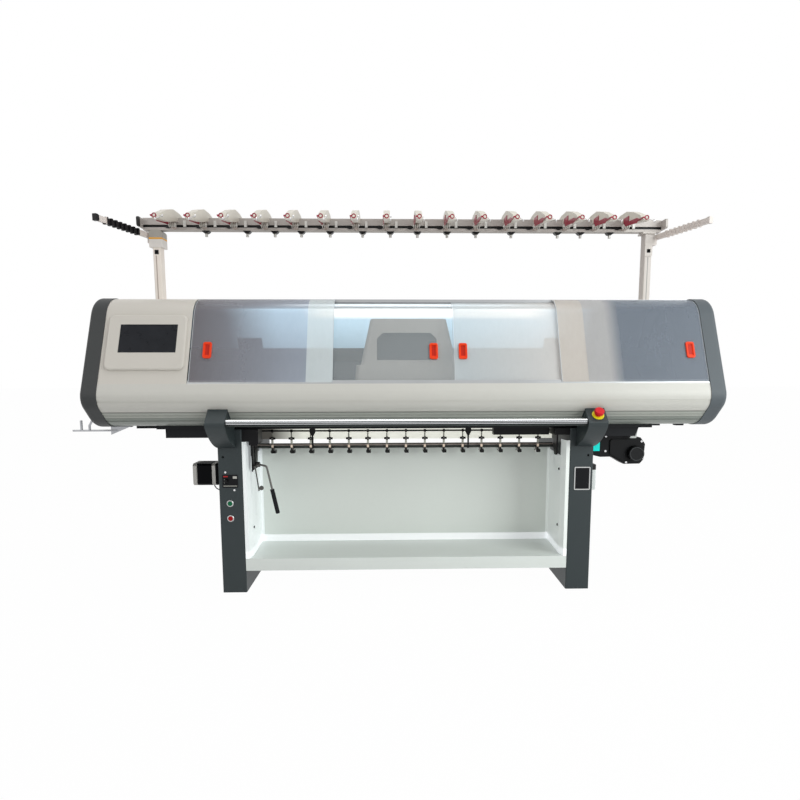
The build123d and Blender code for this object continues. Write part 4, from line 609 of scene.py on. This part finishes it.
stack_black, silver = (0.002, 0.002, 0.003), (0.45, 0.44, 0.42)
two_tone("stepper_shell", "takedown_stepper", stack_black, silver, 0.5, stepper_ends, shiny=0.6, gloss=0.06)
clamp_tone, knob_tone = (0.005, 0.005, 0.006), (0.55, 0.54, 0.52)
two_tone("clamp_and_knob", "rail_clamps", clamp_tone, knob_tone, 0.35, knobs, shiny=0.7)
arm_tone, block_tone = (0.8, 0.73, 0.69), (0.006, 0.006, 0.007)
two_tone("side_arm_finish", "side_arms", arm_tone, block_tone, 0.4, arm_blocks)

# %% [markdown]
# ## Several colours on one node
# Some nodes carry more than two colours. Here a list of (mask, colour, metal) rows is laid over a base, one after
# the other, like stencils. A row that gives no metal leaves it as it is. A mask is a box: it is 1 between two values
# on each axis that is named. The mesh could be split by colour too, but then every change in the CAD model would
# ask for new cuts.


# %% Stencil recipe
def stencilled(name, node, base, rough, layers, metal=0.0, grain=500.0, gloss=0.3):
    made = Finish(name, base, rough, metal, Specular_IOR_Level=gloss)
    grit = made.noise(grain, 3.0)
    slow = made.noise(9.0, 3.0)
    tone = made.shades(slow * 0.6 + grit * 0.4, 0.88, 1.1)
    for mask_of, colour, *shiny in layers:
        mask = mask_of(made)
        tone = made.mix(mask, tone, colour)
        if shiny:
            metal = (1 - mask) * metal + mask * shiny[0]
    made.set("Base Color", tone)
    made.set("Metallic", metal)
    made.set("Roughness", rough - 0.06 + grit * 0.12)
    made.bump(grit, 0.00003)
    dress(made, node)
    print(node, "wears", name, "with", len(layers), "stencils")


def within(**limits):
    """A mask for what lies between two values on each axis that is named."""
    return lambda made: math.prod(made.band(made.axis(letter), *ends, 0.0004) for letter, ends in limits.items())


print("stencils ready")


# %% [markdown]
# ## Yarn stand
# The left post has a grey cap, an orange ring and a white sleeve. Both posts have a small black square near the top
# and a darker stripe along their front, the painted shade of a slot. Each housing is cream, with a darker foot
# against the rail and a pale peg beside it. The rail is bare metal with a slot that is painted black, as shade, and
# its left end block is black on one side.

# %% Posts, housings and rail
left_half, right_half, slot_span = (-2.0, 0.0), (0.0, 2.0), (1.30, 1.54)
near_black = (0.01, 0.01, 0.01)
post_layers = [
    (within(X=right_half), (0.67, 0.62, 0.585)),
    (within(X=left_half, Z=(1.622, 1.70)), (0.42, 0.4, 0.36)),
    (within(X=left_half, Z=(1.6135, 1.622)), (0.85, 0.42, 0.05)),
    (within(X=left_half, Z=(1.576, 1.6135)), (0.86, 0.82, 0.78)),
    (within(X=(-1.186, -1.166), Z=(1.545, 1.566)), near_black),
    (within(X=(1.167, 1.185), Z=(1.559, 1.577)), near_black),
    # Painted shade: a darker stripe in each post's slot.
    (within(X=(1.1735, 1.1775), Z=slot_span), (0.3, 0.29, 0.28)),
    (within(X=(-1.1815, -1.176), Z=slot_span), (0.5, 0.41, 0.37)),
]
stencilled("post_enamel", "stand_posts", (1.0, 0.87, 0.8), 0.4, post_layers)
device_layers = [
    (within(Y=(0.0095, 0.0305), Z=(1.60, 1.6995)), (0.5, 0.42, 0.38)),
    (within(Y=(0.0215, 0.0305), Z=(1.6705, 1.70)), (0.8, 0.79, 0.76)),
]
stencilled("device_cream", "stop_motions", (0.66, 0.62, 0.54), 0.34, device_layers, grain=800.0)
rail_layers = [
    # The rail's slot is painted black, as shade in the recess.
    (within(Y=(0.0312, 0.0402), Z=(1.6688, 1.6812)), (0.006, 0.006, 0.006), 0.0),
    (within(X=(-1.246, -1.2335), Y=(-0.04, 0.0)), (0.012, 0.012, 0.012), 0.0),
]
stencilled("rail_aluminium", "yarn_rail", (0.5, 0.465, 0.44), 0.5, rail_layers, metal=0.2)

# %% [markdown]
# ## Boxes, take-down arms and leg plates
# The small boxes by the right leg are turquoise, white, black and grey. The arms that carry the press rollers are
# black, with a steel strap, a pale boot, a bright band of painted highlight at the roller's height and a dark nut.
# The plate on the right leg has a bare rim, and the one on the left leg has small fields in red and grey.

# %% Boxes, take-down arms and leg plates
box_layers = [
    (within(X=(0.8, 0.9), Z=(0.60, 0.72)), (0.0, 0.85, 0.76)),
    (within(X=(0.8, 0.9), Z=(0.5445, 0.60)), (0.012, 0.012, 0.012)),
    (within(X=(0.95, 1.2)), (0.62, 0.64, 0.62)),
]
stencilled("side_box_paint", "side_boxes", (0.76, 0.79, 0.78), 0.4, box_layers)
strap_span, nut_and_highlight_span = (-0.0945, -0.0895), (-0.1, -0.0935)
frame_layers = [
    (within(Y=strap_span, Z=(0.6, 0.6725)), (0.13, 0.12, 0.11), 0.8),
    (within(Y=strap_span, Z=(0.654, 0.6725)), (0.66, 0.66, 0.58), 0.0),
    # The bright band at the roller's height is a painted highlight.
    (within(Y=nut_and_highlight_span, Z=(0.635, 0.648)), (0.75, 0.62, 0.5), 0.9),
    (within(Y=nut_and_highlight_span, Z=(0.6, 0.631)), (0.02, 0.02, 0.02), 0.5),
]
stencilled("takedown_black", "takedown_frame", (0.005, 0.005, 0.006), 0.38, frame_layers, gloss=0.16)


def plate_rim(made):
    beside = 1 - made.band(made.axis("X"), 0.7545, 0.8175)
    above = 1 - made.band(made.axis("Z"), 0.4675, 0.5635)
    return (beside + above).clamp() * (made.axis("X") > 0)


plate_layers = [
    (plate_rim, (0.5, 0.5, 0.5), 0.9),
    (within(X=(-0.812, -0.792), Z=(0.531, 0.5365)), (0.5, 0.03, 0.03), 0.0),
    (within(X=(-0.770, -0.752), Z=(0.524, 0.535)), (0.55, 0.54, 0.5), 0.0),
    (within(X=(-0.809, -0.805), Z=(0.503, 0.522)), (0.35, 0.36, 0.33), 0.0),
    (within(X=(-0.812, -0.752), Z=(0.4895, 0.493)), (0.45, 0.45, 0.41), 0.0),
]
stencilled("plate_black", "leg_plates", (0.004, 0.0045, 0.006), 0.4, plate_layers, gloss=0.16)

# %% [markdown]
# ## Rollers
# The take-down roller is a dark bar with a fine grain for grip, and its journals are bare steel. The grain is a sine
# along X in the bump, because hundreds of real ridges would cost many faces and hardly show. The bar catches the
# light along its crown, in a pale line. The press rollers are bright, with a satin grain.

# %% Roller finishes
roller = Finish("roller_grip", (0.03, 0.028, 0.026), 0.4, 0.3)
journal_start, crown_low, crown_high = 0.7125, 0.6405, 0.6475
along, height = roller.axis("X"), roller.axis("Z")
turns = along * 900.0
ridge = turns.sum("SINE", turns)
bare = along.sum("ABSOLUTE", along) > journal_start
crown = ((height - crown_low) / 0.002).clamp() * (1 - ((height - crown_high) / 0.0015).clamp())
roller_tone = roller.mix(crown, (0.02, 0.024, 0.022), (0.55, 0.47, 0.42))
roller.set("Base Color", roller.mix(bare, roller_tone, (0.5, 0.5, 0.5)))
roller.set("Metallic", 0.35 + bare * 0.6)
roller.set("Roughness", 0.42 - bare * 0.12 + roller.noise(90.0) * 0.1)
roller.bump(ridge, 0.0003, 0.6)
dress(roller, "takedown_roller")
dress(ground("press_bright", (0.85, 0.84, 0.8), 0.3, (500.0, 60.0, 60.0), 0.4), "press_rollers")
print("undressed:", [name for name in nodes if name not in dressed])

# %% [markdown]
# ## Growing what repeats
# Screws, needles and springs repeat. A Geometry Nodes tree makes one of them from named sizes and sets a copy on
# each point that it is given. The points carry a direction, so a screw on a leg faces the front and a needle lies
# along its bed. The tree ends in Realize Instances and Set Material, because the export drops instances, and the
# result is then kept as a plain mesh.


# %% The grower
class Grower(Loom):
    """A Geometry Nodes tree with named sizes."""

    def __init__(self, name, **sizes):
        super().__init__(bpy.data.node_groups.new(name, "GeometryNodeTree"))
        face = self.tree.interface
        face.new_socket("Geometry", in_out="INPUT", socket_type="NodeSocketGeometry")
        self.keys = {}
        for label, value in sizes.items():
            kind = "NodeSocketInt" if isinstance(value, int) else "NodeSocketFloat"
            made = face.new_socket(label, in_out="INPUT", socket_type=kind)
            made.default_value = value
            self.keys[label] = made.identifier
        face.new_socket("Geometry", in_out="OUTPUT", socket_type="NodeSocketGeometry")
        self.inside = self.tree.nodes.new("NodeGroupInput")
        self.outside = self.tree.nodes.new("NodeGroupOutput")

    def size(self, label):
        return Strand(self, self.inside.outputs[label])

    def several(self, *geometries):
        """Joins pieces. The join's socket takes many links, and the last one made comes first."""
        joined = self.node("GeometryNodeJoinGeometry")
        for geometry in reversed(geometries):
            self.tree.links.new(geometry.socket, joined.socket.node.inputs[0])
        return joined

    def at(self, x=0.0, y=0.0, z=0.0):
        return self.node("ShaderNodeCombineXYZ", {}, [x, y, z])

    def moved(self, geometry, place):
        return self.node("GeometryNodeTransform", {}, {"Geometry": geometry, "Translation": place})

    def close(self, copy, finish):
        """Sets a copy on each point, makes it real and gives it its material."""
        points = Strand(self, self.inside.outputs["Geometry"])
        vector = {"data_type": "FLOAT_VECTOR"}
        way = self.node("GeometryNodeInputNamedAttribute", vector, {"Name": "facing"})
        turn = self.node("FunctionNodeAlignRotationToVector", {"axis": "Z"}, {"Vector": way})
        sizes = {"Points": points, "Instance": copy, "Rotation": turn}
        spread = self.node("GeometryNodeInstanceOnPoints", {}, sizes)
        real = self.node("GeometryNodeRealizeInstances", {}, {"Geometry": spread})
        sizes = {"Geometry": real, "Material": finish.material}
        self.feed(self.outside.inputs[0], self.node("GeometryNodeSetMaterial", {}, sizes))


def grow(tree, name, places, body, slot, **sizes):
    """Runs a grower on (point, direction) pairs and keeps the result as a plain piece."""
    seed = bpy.data.meshes.new(name + "_seed")
    seed.from_pydata([tuple(p) for p, _ in places], [], [])
    way = seed.attributes.new("facing", "FLOAT_VECTOR", "POINT")
    for index, (_, direction) in enumerate(places):
        way.data[index].vector = Vector(direction).normalized()
    piece = bpy.data.objects.new(name, seed)
    bpy.context.scene.collection.objects.link(piece)
    modifier = piece.modifiers.new("grow", "NODES")
    modifier.node_group = tree.tree
    for label, value in sizes.items():
        modifier[tree.keys[label]] = value
    graph = bpy.context.evaluated_depsgraph_get()
    plain = bpy.data.meshes.new_from_object(piece.evaluated_get(graph), depsgraph=graph)
    piece.modifiers.clear()
    piece.data = plain
    plain.name = name
    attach(piece, body)
    print(name, len(places), "copies,", len(plain.polygons), "faces")


print("grower ready")

# %% [markdown]
# ## Screws
# A socket screw is a short cylinder with a hole in its head. The top face of the cylinder is inset and pushed down,
# which costs only a few faces. The same tree with six sides makes a nut.


# %% Screw tree
def screw_tree(name, finish, sides=16):
    tree = Grower(name, Radius=0.005, Height=0.003)
    rim_share, hole_share = 0.55, 0.7
    height = tree.size("Height")
    sizes = {"Vertices": sides, "Radius": tree.size("Radius"), "Depth": height}
    head = tree.node("GeometryNodeMeshCylinder", {"fill_type": "NGON"}, sizes)
    sizes = {"Mesh": head, "Selection": head.other("Top"), "Offset Scale": 0.0}
    rim = tree.node("GeometryNodeExtrudeMesh", {"mode": "FACES"}, sizes)
    sizes = {"Geometry": rim, "Selection": rim.other("Top"), "Scale": rim_share}
    inset = tree.node("GeometryNodeScaleElements", {}, sizes)
    sizes = {"Mesh": inset, "Selection": rim.other("Top"), "Offset Scale": height * -hole_share}
    hole = tree.node("GeometryNodeExtrudeMesh", {"mode": "FACES"}, sizes)
    tree.close(tree.moved(hole, tree.at(z=height * 0.5)), finish)
    return tree


bright_screw = screw_tree("bright_screws", chrome)
dark_screw = screw_tree("dark_screws", black_paint)
print("screw trees:", bright_screw.tree.name, dark_screw.tree.name)

# %% [markdown]
# ## Where the screws go
# Each side sheet of the trough is held by two screws, the plate on the left leg by two, and the belt case by six
# round its edge. Two studs stand on the carriage's hood. The studs take their height from the hood's own box, and
# the others stand on faces whose places are known from the CAD model.

# %% Set the screws
front = (0, -1, 0)
sheet_face, sheet_lean, sheet_y = 0.7037, 0.036, -0.215
trough_screws = []
for side in (-1, 1):
    for z in (0.283, 0.546):
        trough_screws.append(((side * sheet_face, sheet_y, z), (-side, -sheet_lean, 0)))
grow(dark_screw, "trough_screws", trough_screws, "machine", "black_steel", Radius=0.006, Height=0.003)
plate_y = -0.291
plate_screws = [((x, plate_y, z), front) for x, z in ((-0.802, 0.5525), (-0.765, 0.4725))]
grow(bright_screw, "plate_screws", plate_screws, "machine", "chrome", Radius=0.0045, Height=0.003)
case_y = -0.16
case_places = [(0.935, 0.62), (0.935, 0.69), (1.105, 0.665), (1.035, 0.566), (0.985, 0.605), (1.115, 0.585)]
case_screws = [((x, case_y, z), front) for x, z in case_places]
grow(bright_screw, "case_screws", case_screws, "machine", "chrome", Radius=0.005, Height=0.004)
hood_top, stud_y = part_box("carriage_hood")[1].z, -0.10
hood_studs = [((x, stud_y, hood_top), (0, 0, 1)) for x in (-0.127, 0.143)]
grow(dark_screw, "hood_studs", hood_studs, "carriage", "black_steel", Radius=0.006, Height=0.008)

# %% [markdown]
# ## Louvre screens
# Behind the louvres of the rear cover sits a sheet of woven wire against lint. Its wires are thin bars that run both
# ways, the upright ones nearer to the wall, and a dark gauze lies between them and the wall. The wall slopes, so
# every corner is put where the wall is at its height, and then moved inwards by the bar's own distance.

# %% Louvre screens
gauze_finish = ground("gauze", (0.03, 0.032, 0.035), 0.7, (300.0, 300.0, 300.0), 0.2)
slope, wall_place, wall_height = -0.4, 0.3205, 1.144
screen_low, screen_high, screen_half = 1.004, 1.170, 0.064
upright_count, level_count, wire_half, wire_depth = 17, 21, 0.0006, 0.0012
gauze_depth, gauze_gap, upright_gap, level_gap = 0.0006, 0.0018, 0.0020, 0.0028


def slab(bm, xs, zs, depth, gap):
    """A bar that lies along the sloping wall, between two X and two Z."""
    made = []
    for x in xs:
        for z in zs:
            for away in (gap, gap + depth):
                wall_y = wall_place + (z - wall_height) * slope
                made.append(bm.verts.new((x, wall_y - away, z + away * slope)))
    for side in ((0, 1, 3, 2), (4, 6, 7, 5), (0, 4, 5, 1), (2, 3, 7, 6), (0, 2, 6, 4), (1, 5, 7, 3)):
        bm.faces.new([made[index] for index in side])


def spaced(low, high, count):
    return [low + (high - low) * index / (count - 1) for index in range(count)]


mesh = bpy.data.meshes.new("louvre_screens")
bm = bmesh.new()
heights = (screen_low, screen_high)
for centre in (-0.82, 0.82):
    edges = (centre - screen_half, centre + screen_half)
    slab(bm, edges, heights, gauze_depth, gauze_gap)
    for x in spaced(*edges, upright_count):
        slab(bm, (x - wire_half, x + wire_half), heights, wire_depth, upright_gap)
    for z in spaced(*heights, level_count):
        slab(bm, edges, (z - wire_half, z + wire_half), wire_depth, level_gap)
bmesh.ops.recalc_face_normals(bm, faces=bm.faces)
bm.to_mesh(mesh)
bm.free()
mesh.materials.append(gauze_finish.material)
screens = bpy.data.objects.new("louvre_screens", mesh)
bpy.context.scene.collection.objects.link(screens)
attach(screens, "machine")
print("louvre screens:", len(mesh.polygons), "faces")

# %% [markdown]
# ## Needles
# A bed holds hundreds of latch needles side by side. Each is a thin steel bar with a small hook over the throat
# and a butt that the cams push. A low copy with a few faces is enough, because it repeats in its hundreds.

# %% Needle tree
needle_steel = ground("needle_steel", (0.3, 0.3, 0.31), 0.4, (60.0, 900.0, 900.0), 0.7)


def needle_tree():
    tree = Grower("needles", Length=0.12, Width=0.0012, Height=0.0012)
    length, width, height = tree.size("Length"), tree.size("Width"), tree.size("Height")

    def bar_of(size, place):
        return tree.moved(tree.node("GeometryNodeMeshCube", {}, {"Size": size}), tree.at(z=place))

    butt_place, butt_rise, butt_length = -0.62, 1.3, 0.006
    hook_share, hook_rise, hook_length = 0.7, 1.4, 0.003
    shank = bar_of(tree.at(width, height, length), length * -0.5)
    butt = bar_of(tree.at(width, height * butt_rise, butt_length), length * butt_place)
    hook = bar_of(tree.at(width * hook_share, height * hook_rise, hook_length), 0.0)
    tree.close(tree.several(shank, butt, hook), needle_steel)
    return tree


needles = needle_tree()
print("needle tree:", len(needles.tree.nodes), "nodes")

# %% [markdown]
# ## Both rows of needles
# The hooks stand at the two lips of the throat, and each needle lies along its own bed, because the direction of its
# point looks up that bed. The front row stays with the machine. The rear row rides on the rear bed, which racks
# sideways.

# %% Needle rows
needle_count, needle_span = 380, 1.085
throat_y, throat_z, throat_half = -0.070, 1.040, 0.006
hook_drop, hook_lift = 0.002, 0.00063
needle_xs = spaced(-needle_span, needle_span, needle_count)
for body, name, side in (("machine", "front_needles", -1), ("rear_bed", "rear_needles", 1)):
    y = throat_y + side * (throat_half + hook_lift)
    z = throat_z - hook_drop + hook_lift
    row = [((x, y, z), (0, -side, 1)) for x in needle_xs]
    grow(needles, name, row, body, "ground_steel")

# %% [markdown]
# ## Springs and nuts of the press rollers
# Each arm in front of the take-down roller carries a coil spring of pale wire, with a dark steel hexagon nut on the
# arm's front. The spring is Blender's spiral curve given a round profile, since the spiral already takes its turns,
# radius and height as numbers. The nut is the screw tree with six sides.

# %% Springs and nuts
pale_wire = ground("pale_wire", (0.6, 0.6, 0.53), 0.4, (300.0, 300.0, 30.0), 0.2)
press_pitch, press_count = 0.0904, 15
press_xs = [(index - (press_count - 1) / 2) * press_pitch for index in range(press_count)]


def spring_tree():
    tree = Grower("springs", Turns=5.0, Radius=0.005, Height=0.014, Wire=0.0008)
    radius = tree.size("Radius")
    sizes = {"Resolution": 14, "Rotations": tree.size("Turns"), "Height": tree.size("Height")}
    coil = tree.node("GeometryNodeCurveSpiral", {}, {**sizes, "Start Radius": radius, "End Radius": radius})
    ring = tree.node("GeometryNodeCurvePrimitiveCircle", {}, {"Resolution": 6, "Radius": tree.size("Wire")})
    wire = tree.node("GeometryNodeCurveToMesh", {}, {"Curve": coil, "Profile Curve": ring})
    tree.close(wire, pale_wire)
    return tree


arm_y, spring_z, nut_y, nut_z = -0.092, 0.6835, -0.096, 0.678
spring_places = [((x, arm_y, spring_z), (0, 0, 1)) for x in press_xs]
grow(spring_tree(), "arm_springs", spring_places, "machine", "chrome", Turns=6.0, Radius=0.0034, Height=0.02)
hex_nut = screw_tree("hex_nuts", lever_steel, 6)
nut_places = [((x, nut_y, nut_z), front) for x in press_xs]
grow(hex_nut, "arm_nuts", nut_places, "machine", "chrome", Radius=0.0045, Height=0.004)

# %% [markdown]
# ## Tension discs on the yarn stand
# In front of every housing's foot sit four pale discs on a pin, which together work as a brake. The tree holds all
# four discs and their pin, so one point stands for a whole brake.


# %% Disc tree and its places
disc_white = moulded("disc_white", (0.74, 0.72, 0.68), 0.3, 900.0, 0.00002, 0.3)


def disc_tree():
    tree = Grower("tension_discs", Radius=0.011, Thickness=0.0022, Pitch=0.0085)
    disc_count, pin_radius, pin_pitches = 4, 0.002, 4.4
    pitch = tree.size("Pitch")
    sizes = {"Vertices": 20, "Radius": tree.size("Radius"), "Depth": tree.size("Thickness")}
    discs = []
    for index in range(disc_count):
        disc = tree.node("GeometryNodeMeshCylinder", {}, sizes)
        discs.append(tree.moved(disc, tree.at(z=pitch * (index - (disc_count - 1) / 2))))
    sizes = {"Vertices": 10, "Radius": pin_radius, "Depth": pitch * pin_pitches}
    pin = tree.node("GeometryNodeMeshCylinder", {}, sizes)
    tree.close(tree.several(*discs, pin), disc_white)
    return tree


device_pitch, device_first, device_count = 0.1424, -1.082, 16
disc_offset, disc_y, disc_z = -0.004, -0.002, 1.673
device_xs = [device_first + index * device_pitch for index in range(device_count)]
disc_places = [((x + disc_offset, disc_y, disc_z), (1, 0, 0)) for x in device_xs]
grow(disc_tree(), "tension_discs", disc_places, "machine", "device_white")

# %% [markdown]
# ## The studio
# A pale floor, white around it and soft light. The floor and the world are white only for the camera, glossy and
# transmission rays, so that the picture's background is white while the light on the machine stays at a plain
# level. The floor still darkens under the machine, because a small share of it is lit in the usual way.


# %% Floor and world
def white_rays(loom):
    """1 for the rays that have to see white, and 0 for those that carry light."""
    names = ("Is Camera Ray", "Is Glossy Ray", "Is Transmission Ray")
    camera_ray, glossy_ray, passing_ray = (loom.node("ShaderNodeLightPath", output=name) for name in names)
    return (camera_ray + glossy_ray + passing_ray).clamp()


reach, white_share, room_light = 30.0, 0.985, 0.42
floor_mesh = bpy.data.meshes.new("studio_floor")
corners = [(-reach, -reach, 0), (reach, -reach, 0), (reach, reach, 0), (-reach, reach, 0)]
floor_mesh.from_pydata(corners, [], [(0, 1, 2, 3)])
floor = bpy.data.objects.new("studio_floor", floor_mesh)
bpy.context.scene.collection.objects.link(floor)
pale = Finish("studio_pale", (0.8, 0.8, 0.8), 0.9)
floor_mesh.materials.append(pale.material)
white = pale.node("ShaderNodeEmission", {}, {"Color": (1, 1, 1, 1), "Strength": 1.0})
lit_floor = Strand(pale, pale.shader.outputs[0])
blended = pale.node("ShaderNodeMixShader", {}, [white_rays(pale) * white_share, lit_floor, white])
pale.feed(pale.tree.nodes["Material Output"].inputs[0], blended)
floor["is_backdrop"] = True
world = bpy.data.worlds.new("studio")
bpy.context.scene.world = world
world.use_nodes = True
air = Loom(world.node_tree)
backdrop = world.node_tree.nodes["Background"]
air.feed(backdrop.inputs["Color"], (1.0, 1.0, 1.0, 1))
air.feed(backdrop.inputs["Strength"], room_light + white_rays(air) * (1 - room_light))
print("floor of", 2 * reach, "m, room light", room_light)

# %% [markdown]
# ## Lamps
# Three large soft lamps: a cool one from the right, a weaker warm one from the left, and one above that draws a
# bright line along the covers' top edge. They are large, because a small lamp would draw hard shadows.


# %% Lamps
def lamp_at(name, place, target, size, power, colour):
    data = bpy.data.lights.new(name, "AREA")
    data.shape = "RECTANGLE"
    data.size, data.size_y = size
    data.energy = power
    data.color = colour
    made = bpy.data.objects.new(name, data)
    made.location = place
    made.rotation_euler = (Vector(target) - Vector(place)).to_track_quat("-Z", "Y").to_euler()
    bpy.context.scene.collection.objects.link(made)
    print(name, "lamp of", power, "W")


lamp_at("key", (3.0, -2.5, 1.9), (0.2, -0.3, 0.8), (2.2, 2.2), 80, (0.95, 1.0, 0.985))
lamp_at("fill", (-3.0, -3.2, 2.6), (-0.2, -0.3, 0.8), (2.5, 2.0), 18, (1.0, 0.96, 0.92))
lamp_at("over", (0.0, -0.6, 4.2), (0, -0.2, 1.0), (3.5, 2.0), 40, (1.0, 1.0, 1.0))

# %% [markdown]
# ## Camera
# The camera stands about 2.4 m in front of the machine, a little to the left and a metre up, with a wide lens. The
# place, the turn and the lens come from lines of the machine whose places are known. A small shift stands for the
# crop.

# %% Camera
lens_px, frame_px, sensor = 576.55, 800, 36.0
centre_px = (406.065, 440.609)
eye, yaw, pitch, roll = (-0.06723, -2.81914, 1.00134), 0.02493, 0.12261, -0.00166
data = bpy.data.cameras.new("view")
data.sensor_width = sensor
data.lens = lens_px / frame_px * sensor
data.shift_x = (frame_px / 2 - centre_px[0]) / frame_px
data.shift_y = (centre_px[1] - frame_px / 2) / frame_px
camera = bpy.data.objects.new("view", data)
aside = Matrix.Rotation(-yaw, 4, "Z")
upright = Matrix.Rotation(math.pi / 2 - pitch, 4, "X")
camera.matrix_world = Matrix.Translation(eye) @ aside @ upright @ Matrix.Rotation(roll, 4, "Z")
bpy.context.scene.collection.objects.link(camera)
bpy.context.scene.camera = camera
bpy.context.scene.view_settings.view_transform = "Standard"
print("lens", round(data.lens, 2), "mm on a sensor of", sensor, "mm")

# %% [markdown]
# ## Sizes and bounds
# The bounds of the dressed machine are taken here. The machine has to stay inside the CAD model's box.

# %% Sizes and finish
bpy.context.view_layer.update()
low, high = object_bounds()
